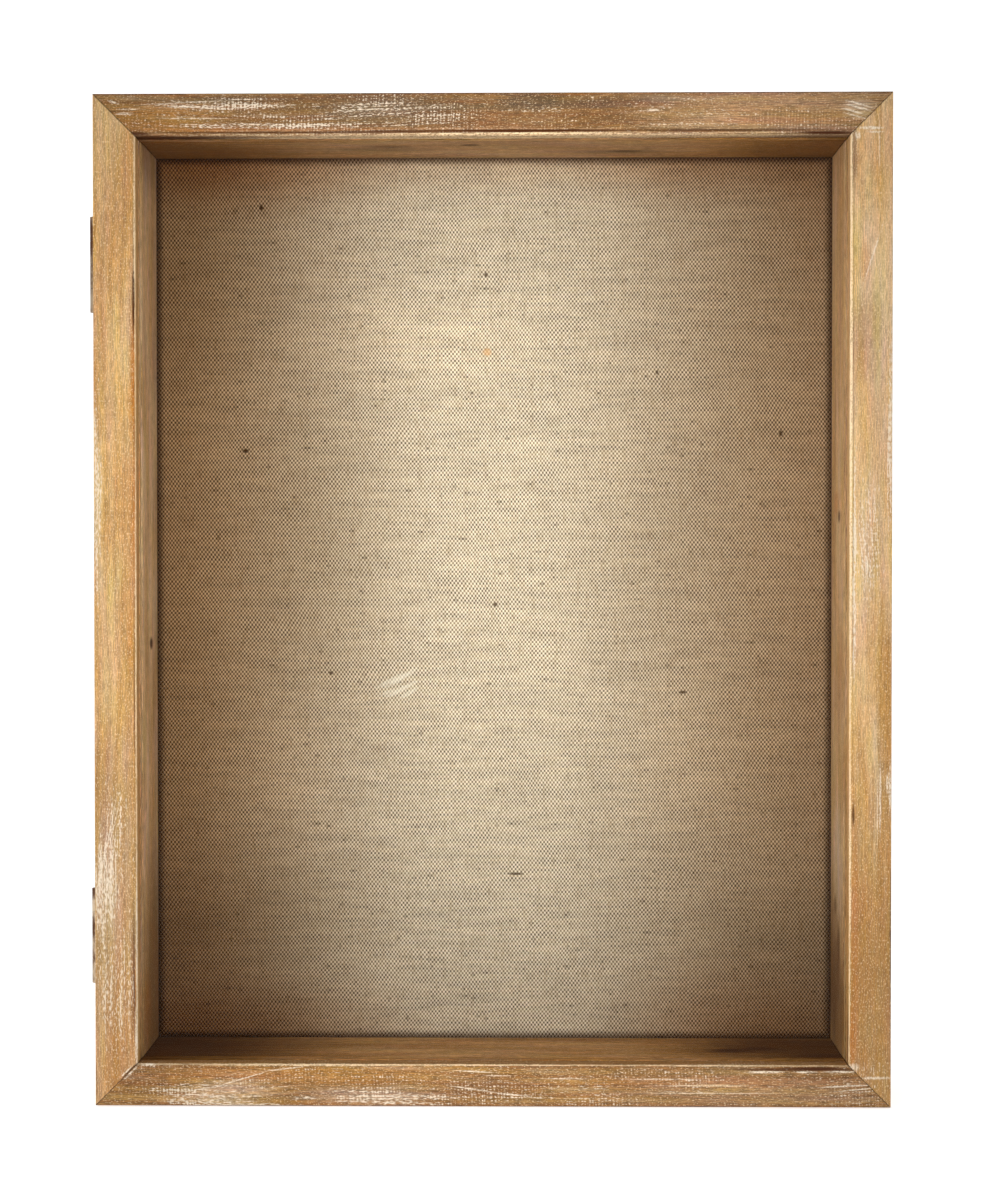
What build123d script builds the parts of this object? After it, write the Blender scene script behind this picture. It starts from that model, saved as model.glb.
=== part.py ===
from build123d import *
import os

# Wall display case with a hinged, glazed door. A mitred wooden box holds a linen-covered pin
# board and a back panel in a rabbet. A mitred door frame holds a clear pane behind its lip.
#
# Millimetres, +Z up. The origin is the centre of the case's underside. The front faces -Y and
# the hinges are on the left, at -X. "Inward" is from a member's outer edge to the middle.

# --- Case ---------------------------------------------------------------------------------
CASE_WIDTH = 279.4
CASE_HEIGHT = 355.6
BOARD = 15.0                # thickness of the four case boards
CAVITY_DEPTH = 33.1         # front edge of the boards to the linen
BACK_RABBET = 5.0           # width of the ledge that the pin board sits against
BACK_RECESS = 1.4           # back panel to the rear edge of the boards
LINEN_THICKNESS = 0.6
PIN_BOARD_THICKNESS = 5.0
LINEN_HEM = 25.0            # linen turned over the back of the pin board
BACK_PANEL_THICKNESS = 3.0
PANEL_CLEARANCE = 0.4       # pin board and back panel to the rabbet walls
BOARD_EDGE_RADIUS = 0.5     # front outer edge of the boards

# --- Door ---------------------------------------------------------------------------------
DOOR_DEPTH = 12.7
DOOR_FACE = 15.0            # width of the stiles and rails, seen from the front
DOOR_LIFT = 0.3             # door edge to case edge, above and below
SEAM = 0.6                  # back of the door to the front edge of the case
LIP_DEPTH = 6.0             # front face to the pane
LIP_RADIUS = 1.1
DOOR_EDGE_RADIUS = 0.7
DOOR_BACK_RADIUS = 0.4
DOOR_RABBET = 5.0
PANE_THICKNESS = 2.0
PANE_CLEARANCE = 0.5
BEAD_DEPTH = 4.2
BEAD_RADIUS = 1.2

# --- Hinges -------------------------------------------------------------------------------
HINGE_LENGTH = 34.0
HINGE_INSET = 41.4          # end of the case to the nearer end of a hinge
LEAF_REACH = 10.5           # hinge axis to the free edge of a leaf
LEAF_THICKNESS = 1.0
LEAF_CORNER_RADIUS = 1.0
BARREL_RADIUS = 1.8
AXIS_OUT = 1.5              # hinge axis outside the left face of the case
KNUCKLES = 4
KNUCKLE_GAP = 0.2
CURL_SLIT = 0.15            # where the rolled end of a leaf meets its flat part
PIN_RADIUS = 0.9
PIN_CLEARANCE = 0.05
BARREL_CLEARANCE = 0.25     # barrel to the wood, and knuckles to the other leaf
MORTISE_CLEARANCE = 0.15
HINGE_SCREW_INSET = 7.0     # end of a leaf to its nearer screw
HINGE_SCREW_LENGTH = 9.0
HINGE_SCREW_RADIUS = 1.0
HINGE_SCREW_HEAD_RADIUS = 2.0

# --- Magnetic catch -----------------------------------------------------------------------
CATCH_RADIUS = 3.0
MAGNET_THICKNESS = 2.5
STRIKE_THICKNESS = 1.5
CATCH_GAP = 0.1             # magnet to strike with the door shut
CATCH_INSET = 30.0          # end of the case to the centre of a catch
CATCH_CLEARANCE = 0.05

# --- Nails, brads and points --------------------------------------------------------------
FASTENER_CLEARANCE = 0.03
BRAD_LENGTH = 25.0
BRAD_WIDTH = 1.2
BRAD_THICKNESS = 1.0
BRAD_HEAD_WIDTH = 2.2
BRAD_HEAD_HEIGHT = 0.8
BRAD_TIP = 1.5
BRAD_SET = 0.5              # brad heads below the surface
BRAD_SPACING = 22.0
CORNER_NAIL_LEG = 4.5
CORNER_NAIL_THICKNESS = 0.5
CORNER_NAIL_DEPTH = 7.0
CORNER_NAIL_INSET = 3.6     # outer edges of the door to the elbow of a corner nail
POINT_LENGTH = 14.0
POINT_WIDTH = 6.0
POINT_THICKNESS = 0.5
POINT_BITE = 6.0            # length of a point inside the wood, its tip included
POINT_TIP = 2.5
POINTS_ON_SIDE = 3
POINTS_ON_END = 2

# --- Hangers and wall bumpers -------------------------------------------------------------
HANGER_LENGTH = 45.0
HANGER_WIDTH = 9.0
HANGER_THICKNESS = 0.8
HANGER_RISE = 1.2           # how far the toothed middle stands off the wood
HANGER_TAB = 8.0            # flat end that lies on the wood
HANGER_RAMP = 2.0
HANGER_TAB_RADIUS = 2.0
HANGER_BEND_RADIUS = 0.7
TOOTH_PITCH = 2.4
TOOTH_DEPTH = 1.7
PRONG_WIDTH = 4.0
PRONG_DEPTH = 6.0
BUMPER_SIZE = 8.0           # side of a square felt pad
BUMPER_THICKNESS = 2.2
BUMPER_INSET = 12.0         # end of the case to the middle of a bumper

# --- Places worked out from the sizes above -----------------------------------------------
RABBET_DEPTH = 2 * LINEN_THICKNESS + PIN_BOARD_THICKNESS + BACK_PANEL_THICKNESS + BACK_RECESS
CASE_DEPTH = CAVITY_DEPTH + RABBET_DEPTH
CASE_FRONT = -CASE_DEPTH / 2
CASE_BACK = CASE_DEPTH / 2
LINEN_FRONT = CASE_FRONT + CAVITY_DEPTH
PIN_BOARD_FRONT = LINEN_FRONT + LINEN_THICKNESS
PIN_BOARD_BACK = PIN_BOARD_FRONT + PIN_BOARD_THICKNESS
PANEL_FRONT = PIN_BOARD_BACK + LINEN_THICKNESS
PANEL_BACK = PANEL_FRONT + BACK_PANEL_THICKNESS
REAR_EDGE = BOARD - BACK_RABBET         # wood left behind the rabbet
PANEL_WIDTH = CASE_WIDTH - 2 * (REAR_EDGE + PANEL_CLEARANCE)
PANEL_HEIGHT = CASE_HEIGHT - 2 * (REAR_EDGE + PANEL_CLEARANCE)
LEFT_FACE = -CASE_WIDTH / 2
RIGHT_FACE = CASE_WIDTH / 2
MID_HEIGHT = CASE_HEIGHT / 2

DOOR_HEIGHT = CASE_HEIGHT - 2 * DOOR_LIFT
DOOR_BACK = CASE_FRONT - SEAM
DOOR_FRONT = DOOR_BACK - DOOR_DEPTH
PANE_FRONT = DOOR_FRONT + LIP_DEPTH
PANE_BACK = PANE_FRONT + PANE_THICKNESS
BEAD_BACK = PANE_BACK + BEAD_DEPTH
DOOR_REAR_WOOD = DOOR_FACE - DOOR_RABBET
WHOLE_DEPTH = CASE_BACK - DOOR_FRONT

AXIS_X = LEFT_FACE - AXIS_OUT
AXIS_Y = CASE_FRONT - SEAM / 2
BORE_RADIUS = PIN_RADIUS + PIN_CLEARANCE
KNUCKLE_PITCH = HINGE_LENGTH / KNUCKLES
LEAF_START = BARREL_RADIUS + BARREL_CLEARANCE       # flat part of a leaf, from the axis
SCREW_OUT = (LEAF_START + LEAF_REACH) / 2           # screws, from the axis
BARREL_LENGTH = HINGE_LENGTH - KNUCKLE_GAP
HINGE_HEIGHTS = {
    "upper": CASE_HEIGHT - HINGE_INSET - HINGE_LENGTH / 2,
    "lower": HINGE_INSET + HINGE_LENGTH / 2,
}
CATCH_HEIGHTS = [CATCH_INSET, CASE_HEIGHT - CATCH_INSET]
CATCH_X = RIGHT_FACE - DOOR_REAR_WOOD / 2
MAGNET_FRONT = DOOR_BACK + CATCH_GAP
# Turn about Y that carries a member from the bottom to each side of its frame.
SIDES = {"left": 90, "right": -90, "top": 180, "bottom": 0}


# --- Helpers ------------------------------------------------------------------------------
def block(x, y, z):
    """A box between the two ends given on each axis."""
    size = [abs(b - a) for a, b in (x, y, z)]
    middle = [(a + b) / 2 for a, b in (x, y, z)]
    return Pos(*middle) * Box(*size)


def centred(middle, width):
    return middle - width / 2, middle + width / 2


def outline(points):
    return make_face(Polyline(*points, close=True))


def rounded(face, x, y, radius):
    """The face with its corner nearest (x, y) rounded."""
    near = sorted(face.vertices(), key=lambda v: (v.X - x) ** 2 + (v.Y - y) ** 2)
    return fillet(near[0], radius)


def disc(radius, y, depth, x, z):
    """A cylinder along +Y that starts at y."""
    return Pos(x, y + depth / 2, z) * Rot(90, 0, 0) * Cylinder(radius, depth)


def mitred_bar(section, length, inward):
    """A bar along X with 45 degree ends, its outer edge on z = 0.

    The section's x runs inward from that edge and its y is the depth.
    """
    end = Plane(origin=(length / 2, 0, 0), x_dir=(0, 0, 1), z_dir=(-1, 0, 0))
    bar = extrude(end * section, length)
    half = length / 2
    face = [(-half, 0), (half, 0), (half - inward, inward), (inward - half, inward)]
    return bar & extrude(Plane.XZ * outline(face), WHOLE_DEPTH, both=True)


def four_sides(section, width, height, inward):
    """The left, right, top and bottom members of a mitred frame centred on the case."""
    middle = Pos(0, 0, MID_HEIGHT)
    spans = {"left": (height, width), "right": (height, width)}
    members = {}
    for side, turn in SIDES.items():
        length, across = spans.get(side, (width, height))
        bar = mitred_bar(section, length, inward)
        members[side] = middle * Rot(0, turn, 0) * Pos(0, 0, -across / 2) * bar
    return members


def write(name, shape):
    shape.label = name
    export_step(shape, f"parts/{name}.step")


# --- Case boards --------------------------------------------------------------------------
def case_boards():
    section = outline([
        (0, CASE_FRONT), (BOARD, CASE_FRONT), (BOARD, LINEN_FRONT),
        (REAR_EDGE, LINEN_FRONT), (REAR_EDGE, CASE_BACK), (0, CASE_BACK),
    ])
    section = rounded(section, 0, CASE_FRONT, BOARD_EDGE_RADIUS)
    return four_sides(section, CASE_WIDTH, CASE_HEIGHT, BOARD)


def corner_brad(clearance=0.0, top=0.0):
    """A flat T-headed brad that hangs down from z = top, with its head's rim at z = 0."""
    head = BRAD_HEAD_WIDTH / 2 + clearance
    shank = BRAD_WIDTH / 2 + clearance
    shoulder = BRAD_TIP - BRAD_LENGTH
    shape = outline([
        (head, top), (head, -BRAD_HEAD_HEIGHT), (shank, -BRAD_HEAD_HEIGHT), (shank, shoulder),
        (0, -BRAD_LENGTH - clearance), (-shank, shoulder), (-shank, -BRAD_HEAD_HEIGHT),
        (-head, -BRAD_HEAD_HEIGHT), (-head, top),
    ])
    return extrude(Plane.XZ * shape, BRAD_THICKNESS / 2 + clearance, both=True)


def corner_brad_places():
    """Two brads down into each side board from above, and two up from below."""
    places = []
    for side in (-1, 1):
        for row in (-1, 1):
            x = side * (RIGHT_FACE - REAR_EDGE / 2)
            y = row * BRAD_SPACING / 2
            places.append(Pos(x, y, CASE_HEIGHT - BRAD_SET))
            places.append(Pos(x, y, BRAD_SET) * Rot(180, 0, 0))
    return places


def brad_hole():
    """Room for a brad, open to the surface that its head is sunk below."""
    return corner_brad(FASTENER_CLEARANCE, BRAD_SET)


# --- Pin board, linen and back panel ------------------------------------------------------
def sheet(width, height, front, back):
    return block(centred(0, width), (front, back), centred(MID_HEIGHT, height))


def pin_board():
    width = PANEL_WIDTH - 2 * LINEN_THICKNESS
    height = PANEL_HEIGHT - 2 * LINEN_THICKNESS
    return sheet(width, height, PIN_BOARD_FRONT, PIN_BOARD_BACK)


def linen_cover():
    """The cloth over the front and edges of the pin board, with its hem behind."""
    wrapped = sheet(PANEL_WIDTH, PANEL_HEIGHT, LINEN_FRONT, PANEL_FRONT)
    turned_over = 2 * (LINEN_THICKNESS + LINEN_HEM)
    gap = sheet(
        PANEL_WIDTH - turned_over, PANEL_HEIGHT - turned_over, PIN_BOARD_BACK, PANEL_FRONT
    )
    return wrapped - pin_board() - gap


def back_panel():
    return sheet(PANEL_WIDTH, PANEL_HEIGHT, PANEL_FRONT, PANEL_BACK)


def back_point(clearance=0.0):
    """A flat steel point along +Z, with z = 0 at the rabbet wall and its tip in the wood."""
    half = POINT_WIDTH / 2 + clearance
    tip = POINT_BITE + clearance
    shape = outline([
        (-half, POINT_BITE - POINT_LENGTH), (half, POINT_BITE - POINT_LENGTH),
        (half, POINT_BITE - POINT_TIP), (0, tip), (-half, POINT_BITE - POINT_TIP),
    ])
    # Plane.XZ looks along -Y, so the plate is carried back to start on the panel.
    plate = extrude(Plane.XZ * shape, POINT_THICKNESS + clearance)
    return Pos(0, PANEL_BACK + POINT_THICKNESS + clearance, 0) * plate


def back_point_places():
    """Points spread evenly along each rabbet wall, tips outward."""
    places = []
    half_width = CASE_WIDTH / 2 - REAR_EDGE
    half_height = CASE_HEIGHT / 2 - REAR_EDGE
    for side, turn in SIDES.items():
        upright = side in ("left", "right")
        count = POINTS_ON_SIDE if upright else POINTS_ON_END
        along = CASE_HEIGHT if upright else CASE_WIDTH
        out = half_width if upright else half_height
        for i in range(count):
            shift = along * ((i + 0.5) / count - 0.5)
            # A point's tip is on +Z, so it takes the turn of the opposite side.
            turn_out = Rot(0, turn + 180, 0)
            places.append(Pos(0, 0, MID_HEIGHT) * turn_out * Pos(shift, 0, out))
    return places


# --- Door frame ---------------------------------------------------------------------------
def door_members():
    section = outline([
        (0, DOOR_FRONT), (DOOR_FACE, DOOR_FRONT), (DOOR_FACE, PANE_FRONT),
        (DOOR_REAR_WOOD, PANE_FRONT), (DOOR_REAR_WOOD, DOOR_BACK), (0, DOOR_BACK),
    ])
    section = rounded(section, DOOR_FACE, DOOR_FRONT, LIP_RADIUS)
    section = rounded(section, 0, DOOR_FRONT, DOOR_EDGE_RADIUS)
    section = rounded(section, 0, DOOR_BACK, DOOR_BACK_RADIUS)
    return four_sides(section, CASE_WIDTH, DOOR_HEIGHT, DOOR_FACE)


def glazing_beads():
    section = outline([
        (0, PANE_BACK), (DOOR_RABBET, PANE_BACK), (DOOR_RABBET, BEAD_BACK), (0, BEAD_BACK),
    ])
    section = rounded(section, DOOR_RABBET, BEAD_BACK, BEAD_RADIUS)
    width = CASE_WIDTH - 2 * DOOR_REAR_WOOD
    height = DOOR_HEIGHT - 2 * DOOR_REAR_WOOD
    return four_sides(section, width, height, DOOR_RABBET)


def glazing_pane():
    margin = 2 * (DOOR_REAR_WOOD + PANE_CLEARANCE)
    return sheet(CASE_WIDTH - margin, DOOR_HEIGHT - margin, PANE_FRONT, PANE_BACK)


def corner_nails():
    """V-shaped nails pressed in from behind across the four mitres of the door."""
    t = CORNER_NAIL_THICKNESS
    leg = CORNER_NAIL_LEG
    elbow = outline([(0, 0), (leg, 0), (leg, t), (t, t), (t, leg), (0, leg)])
    nail = extrude(Plane.XZ * elbow, CORNER_NAIL_DEPTH)
    nails = []
    for side in (-1, 1):
        for end in (-1, 1):
            x = side * (RIGHT_FACE - CORNER_NAIL_INSET)
            z = MID_HEIGHT + end * (DOOR_HEIGHT / 2 - CORNER_NAIL_INSET)
            turn = {(-1, -1): 0, (-1, 1): 90, (1, 1): 180, (1, -1): 270}[side, end]
            nails.append(Pos(x, DOOR_BACK, z) * Rot(0, turn, 0) * nail)
    return nails


# --- Hinges -------------------------------------------------------------------------------
# A leaf is drawn about its axis, which is z. The case leaf lies on +y, the door leaf on -y.
def knuckle_span(index):
    low = -HINGE_LENGTH / 2 + index * KNUCKLE_PITCH
    return low + KNUCKLE_GAP / 2, low + KNUCKLE_PITCH - KNUCKLE_GAP / 2


def screw_heights():
    height = HINGE_LENGTH / 2 - HINGE_SCREW_INSET
    return [-height, height]


def hinge_leaf(facing, first_knuckle):
    """A leaf whose knuckles are every second one, rolled from its own sheet."""
    near = SEAM / 2
    far = near + LEAF_THICKNESS
    flat = block((LEAF_START, LEAF_REACH), (near, far), centred(0, HINGE_LENGTH))
    outer = flat.edges().filter_by(Axis.Y).group_by(Axis.X)[-1]
    leaf = fillet(outer, LEAF_CORNER_RADIUS)
    for index in range(first_knuckle, KNUCKLES, 2):
        low, high = knuckle_span(index)
        barrel = Pos(0, 0, (low + high) / 2) * Cylinder(BARREL_RADIUS, high - low)
        root = block((PIN_RADIUS, LEAF_START), (near, far), (low, high))
        slit = block((PIN_RADIUS, BARREL_RADIUS), (near - CURL_SLIT, near), (low, high))
        leaf += barrel + root - slit
    leaf -= Cylinder(BORE_RADIUS, HINGE_LENGTH)
    for z in screw_heights():
        leaf -= Pos(SCREW_OUT, near, z) * hinge_screw(FASTENER_CLEARANCE)
    return leaf if facing > 0 else mirror(leaf, Plane.XZ)


def hinge_screw(clearance=0.0):
    """A countersunk screw along +Y with its head flush on y = 0."""
    head = HINGE_SCREW_HEAD_RADIUS + clearance
    shank = HINGE_SCREW_RADIUS + clearance
    length = HINGE_SCREW_LENGTH + clearance
    half = outline([(0, 0), (head, 0), (shank, LEAF_THICKNESS), (shank, length), (0, length)])
    return revolve(half, Axis.Y)


def hinge_screws(facing):
    """The screws of both hinges on one side, where facing is +1 in the case, -1 in the door."""
    one = hinge_screw()
    if facing < 0:
        one = mirror(one, Plane.XZ)
    y = AXIS_Y + facing * SEAM / 2
    return [
        Pos(AXIS_X + SCREW_OUT, y, height + z) * one
        for height in HINGE_HEIGHTS.values()
        for z in screw_heights()
    ]


def hinge_pin():
    """A fixed pin, flush with the ends of the barrel."""
    return Cylinder(PIN_RADIUS, BARREL_LENGTH)


def hinge_mortise(facing):
    """Wood cut away for one leaf, its barrel and its screws, about the hinge axis."""
    near = SEAM / 2
    pocket = block(
        (-AXIS_OUT, LEAF_REACH + MORTISE_CLEARANCE), (0, near + LEAF_THICKNESS),
        centred(0, HINGE_LENGTH + 2 * MORTISE_CLEARANCE),
    )
    barrel = Cylinder(BARREL_RADIUS + BARREL_CLEARANCE, BARREL_LENGTH + 2 * BARREL_CLEARANCE)
    cut = pocket + barrel
    for z in screw_heights():
        cut += Pos(SCREW_OUT, near, z) * hinge_screw(FASTENER_CLEARANCE)
    return cut if facing > 0 else mirror(cut, Plane.XZ)


# --- Magnetic catch -----------------------------------------------------------------------
def catch_discs(front, thickness, radius):
    return [disc(radius, front, thickness, CATCH_X, z) for z in CATCH_HEIGHTS]


# --- Hangers and wall bumpers -------------------------------------------------------------
def hanger_prongs(clearance=0.0):
    """The two points turned down from the ends of a hanger into the wood, along -Y."""
    half = PRONG_WIDTH / 2 + clearance
    point = outline([
        (half, HANGER_THICKNESS), (half, 0), (0, -PRONG_DEPTH - clearance), (-half, 0),
        (-half, HANGER_THICKNESS),
    ])
    out = HANGER_LENGTH / 2 + clearance
    thickness = HANGER_THICKNESS + 2 * clearance
    prong = extrude(Plane(origin=(out, 0, 0), x_dir=(0, 0, 1), z_dir=(-1, 0, 0)) * point, thickness)
    return [prong, mirror(prong, Plane.YZ)]


def sawtooth_hanger():
    """A stamped strip on y = 0 whose raised middle has a row of teeth along its lower edge."""
    half = HANGER_LENGTH / 2
    bend = half - HANGER_TAB
    top = bend - HANGER_RAMP
    line = [(-half, 0), (-bend, 0), (-top, HANGER_RISE)]
    line += [(-x, y) for x, y in reversed(line)]
    above = [(x, y + HANGER_THICKNESS) for x, y in reversed(line)]
    section = outline(line + above)
    for x, y in line[1:-1] + above[1:-1]:
        section = rounded(section, x, y, HANGER_BEND_RADIUS)
    strip = extrude(section, HANGER_WIDTH / 2, both=True)
    ends = strip.edges().filter_by(Axis.Y).group_by(lambda e: round(abs(e.center().X)))[-1]
    strip = fillet(ends, HANGER_TAB_RADIUS)
    count = int((2 * top - TOOTH_PITCH) // TOOTH_PITCH)
    low = -HANGER_WIDTH / 2
    reach = HANGER_RISE + HANGER_THICKNESS
    tooth_gap = outline([
        (-TOOTH_PITCH / 2, low), (0, low + TOOTH_DEPTH), (TOOTH_PITCH / 2, low),
    ])
    cutter = extrude(Plane.XZ * tooth_gap, -reach)
    for i in range(count):
        strip -= Pos((i - (count - 1) / 2) * TOOTH_PITCH, 0, 0) * cutter
    return strip + hanger_prongs()


def hanger_places():
    """The hanger for an upright case, and the one for a case hung with its hinges on top."""
    middle = REAR_EDGE / 2
    return {
        "top": Pos(0, CASE_BACK, CASE_HEIGHT - middle),
        "side": Pos(LEFT_FACE + middle, CASE_BACK, MID_HEIGHT) * Rot(0, -90, 0),
    }


def wall_bumpers():
    """A felt pad on the back at each corner, so that the case hangs level either way."""
    x = RIGHT_FACE - REAR_EDGE / 2
    depth = (CASE_BACK, CASE_BACK + BUMPER_THICKNESS)
    return [
        block(centred(side * x, BUMPER_SIZE), depth, centred(z, BUMPER_SIZE))
        for side in (-1, 1)
        for z in (BUMPER_INSET, CASE_HEIGHT - BUMPER_INSET)
    ]


# --- Assembly -----------------------------------------------------------------------------
def write_case():
    boards = case_boards()
    brad_holes = [place * brad_hole() for place in corner_brad_places()]
    point_slots = [place * back_point(FASTENER_CLEARANCE) for place in back_point_places()]
    prong_slots = [
        place * prong
        for place in hanger_places().values()
        for prong in hanger_prongs(FASTENER_CLEARANCE)
    ]
    for side, board in boards.items():
        board = board - brad_holes - point_slots - prong_slots
        if side == "left":
            for height in HINGE_HEIGHTS.values():
                board -= Pos(AXIS_X, AXIS_Y, height) * hinge_mortise(1)
        if side == "right":
            depth = MAGNET_THICKNESS + MAGNET_FRONT - CASE_FRONT
            board -= catch_discs(CASE_FRONT, depth, CATCH_RADIUS + CATCH_CLEARANCE)
        upright = side in ("left", "right")
        write(f"case_side_{side}" if upright else f"case_{side}", board)
    write("case_corner_brads", Compound([place * corner_brad() for place in corner_brad_places()]))
    write("pin_board", pin_board())
    write("linen_cover", linen_cover())
    write("back_panel", back_panel())
    write("back_points", Compound([place * back_point() for place in back_point_places()]))
    write("case_magnets", Compound(catch_discs(MAGNET_FRONT, MAGNET_THICKNESS, CATCH_RADIUS)))
    write("hinge_screws_case", Compound(hinge_screws(1)))
    for name, place in hanger_places().items():
        write(f"sawtooth_hanger_{name}", place * sawtooth_hanger())
    write("wall_bumpers", Compound(wall_bumpers()))


def write_door():
    members = door_members()
    nails = corner_nails()
    for side, member in members.items():
        member = member - nails
        if side == "left":
            for height in HINGE_HEIGHTS.values():
                member -= Pos(AXIS_X, AXIS_Y, height) * hinge_mortise(-1)
        if side == "right":
            front = DOOR_BACK - STRIKE_THICKNESS
            member -= catch_discs(front, STRIKE_THICKNESS, CATCH_RADIUS + CATCH_CLEARANCE)
        kind = "stile" if side in ("left", "right") else "rail"
        write(f"door_{kind}_{side}", member)
    for side, bead in glazing_beads().items():
        write(f"glazing_bead_{side}", bead)
    write("glazing_pane", glazing_pane())
    write("door_corner_nails", Compound(nails))
    strikes = catch_discs(DOOR_BACK - STRIKE_THICKNESS, STRIKE_THICKNESS, CATCH_RADIUS)
    write("door_strikes", Compound(strikes))
    write("hinge_screws_door", Compound(hinge_screws(-1)))


def write_hinges():
    for name, height in HINGE_HEIGHTS.items():
        place = Pos(AXIS_X, AXIS_Y, height)
        write(f"{name}_hinge_case_leaf", place * hinge_leaf(1, 0))
        write(f"{name}_hinge_door_leaf", place * hinge_leaf(-1, 1))
        write(f"{name}_hinge_pin", place * hinge_pin())


os.makedirs("parts", exist_ok=True)
write_case()
write_door()
write_hinges()
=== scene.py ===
"""Finishes, linen, light and camera for a wall display case with a hinged, glazed door.

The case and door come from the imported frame. Lengths are metres, +Z is up and the door faces -Y.
Places on a board are given along its grain and across its front, in millimetres.
"""
import math

import bmesh
import bpy
from mathutils import Euler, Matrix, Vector


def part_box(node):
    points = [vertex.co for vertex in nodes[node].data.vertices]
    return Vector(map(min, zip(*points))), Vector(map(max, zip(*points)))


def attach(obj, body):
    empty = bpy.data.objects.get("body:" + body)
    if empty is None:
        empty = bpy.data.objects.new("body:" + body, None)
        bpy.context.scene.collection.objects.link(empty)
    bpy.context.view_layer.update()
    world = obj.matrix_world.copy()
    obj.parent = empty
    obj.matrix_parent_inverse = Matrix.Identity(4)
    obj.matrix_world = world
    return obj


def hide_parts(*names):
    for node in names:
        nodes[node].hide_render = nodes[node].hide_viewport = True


MM = 0.001

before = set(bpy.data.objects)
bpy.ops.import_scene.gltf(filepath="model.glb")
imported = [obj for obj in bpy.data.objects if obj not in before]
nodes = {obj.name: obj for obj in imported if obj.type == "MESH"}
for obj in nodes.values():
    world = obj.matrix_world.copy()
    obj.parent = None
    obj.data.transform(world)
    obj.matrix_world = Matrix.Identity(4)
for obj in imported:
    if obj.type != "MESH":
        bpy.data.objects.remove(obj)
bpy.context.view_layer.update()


# --- Places taken from the frame ----------------------------------------------------------
def span(names):
    """The box round several CAD nodes."""
    boxes = [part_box(name) for name in names]
    low = Vector([min(b[0][i] for b in boxes) for i in range(3)])
    high = Vector([max(b[1][i] for b in boxes) for i in range(3)])
    return low, high


SIDES = ("left", "right", "top", "bottom")
DOOR_BOARDS = {
    "left": "door_stile_left", "right": "door_stile_right",
    "top": "door_rail_top", "bottom": "door_rail_bottom",
}
CASE_BOARDS = {
    "left": "case_side_left", "right": "case_side_right", "top": "case_top",
    "bottom": "case_bottom",
}
BEADS = {side: f"glazing_bead_{side}" for side in SIDES}
DOOR = span(DOOR_BOARDS.values())
CASE = span(CASE_BOARDS.values())
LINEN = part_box("linen_cover")
PIN_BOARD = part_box("pin_board")
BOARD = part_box("door_stile_right")[1].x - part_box("door_stile_right")[0].x
CASE_MIDDLE = (CASE[0].z + CASE[1].z) / 2
BEAD_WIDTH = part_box("glazing_bead_left")[1].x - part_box("glazing_bead_left")[0].x


# --- Node tools ---------------------------------------------------------------------------
def srgb(red, green, blue):
    """A colour given in 0 to 255 display values, as the shader's linear RGBA."""
    def linear(value):
        value /= 255
        return value / 12.92 if value <= 0.04045 else ((value + 0.055) / 1.055) ** 2.4
    return (linear(red), linear(green), linear(blue), 1.0)


class Tree:
    """Adds nodes to one tree. A socket given as a value is linked, and anything else is set."""

    def __init__(self, tree):
        self.tree = tree

    def put(self, socket, value):
        if isinstance(value, bpy.types.NodeSocket):
            self.tree.links.new(value, socket)
        elif value is not None:
            socket.default_value = value

    def add(self, kind, values=None, **settings):
        node = self.tree.nodes.new(kind)
        for key, value in settings.items():
            setattr(node, key, value)
        for key, value in (values or {}).items():
            self.put(node.inputs[key], value)
        return node

    def math(self, operation, a, b=None, c=None, clamp=False):
        node = self.add("ShaderNodeMath", operation=operation, use_clamp=clamp)
        for socket, value in zip(node.inputs, (a, b, c)):
            self.put(socket, value)
        return node.outputs[0]

    def sum(self, *values):
        total = values[0]
        for value in values[1:]:
            total = self.math("ADD", total, value)
        return total

    def product(self, *values):
        total = values[0]
        for value in values[1:]:
            total = self.math("MULTIPLY", total, value)
        return total

    def vector(self, x, y, z=0.0):
        return self.add("ShaderNodeCombineXYZ", {"X": x, "Y": y, "Z": z}).outputs[0]

    def noise(self, vector, detail=2.0, roughness=0.5):
        """Noise from 0 to 1 with features about one unit of the vector apart."""
        node = self.add(
            "ShaderNodeTexNoise",
            {"Vector": vector, "Scale": 1.0, "Detail": detail, "Roughness": roughness},
        )
        return node.outputs[0]

    def grade(self, value, low, high, start=0.0, end=1.0):
        """Value carried smoothly from low..high to start..end, and held beyond them."""
        node = self.add(
            "ShaderNodeMapRange",
            {"Value": value, "From Min": low, "From Max": high, "To Min": start, "To Max": end},
            interpolation_type="SMOOTHSTEP",
        )
        return node.outputs[0]

    def mix(self, factor, a, b, blend="MIX"):
        """Two colours mixed. A Mix node's colour sockets can only be told apart by number."""
        node = self.add("ShaderNodeMix", data_type="RGBA", blend_type=blend)
        self.put(node.inputs[0], factor)
        self.put(node.inputs[6], a)
        self.put(node.inputs[7], b)
        return node.outputs[2]

    def bump(self, height, distance, strength=1.0):
        node = self.add(
            "ShaderNodeBump", {"Height": height, "Distance": distance, "Strength": strength}
        )
        return node.outputs[0]

    def group(self, tree, values):
        return self.add("ShaderNodeGroup", values, node_tree=tree).outputs

    def place(self):
        """The object's own coordinates, in metres, as x, y and z."""
        coordinates = self.add("ShaderNodeTexCoord").outputs["Object"]
        return self.add("ShaderNodeSeparateXYZ", {"Vector": coordinates}).outputs


def new_group(name, inputs, outputs):
    """An empty node group. Returns its tree, its inputs by name and its output node."""
    tree = bpy.data.node_groups.new(name, "ShaderNodeTree")
    for kind, sockets in (("INPUT", inputs), ("OUTPUT", outputs)):
        for socket in sockets:
            tree.interface.new_socket(socket, in_out=kind, socket_type="NodeSocketFloat")
    start = tree.nodes.new("NodeGroupInput")
    end = tree.nodes.new("NodeGroupOutput")
    return Tree(tree), start.outputs, end.inputs


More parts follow.
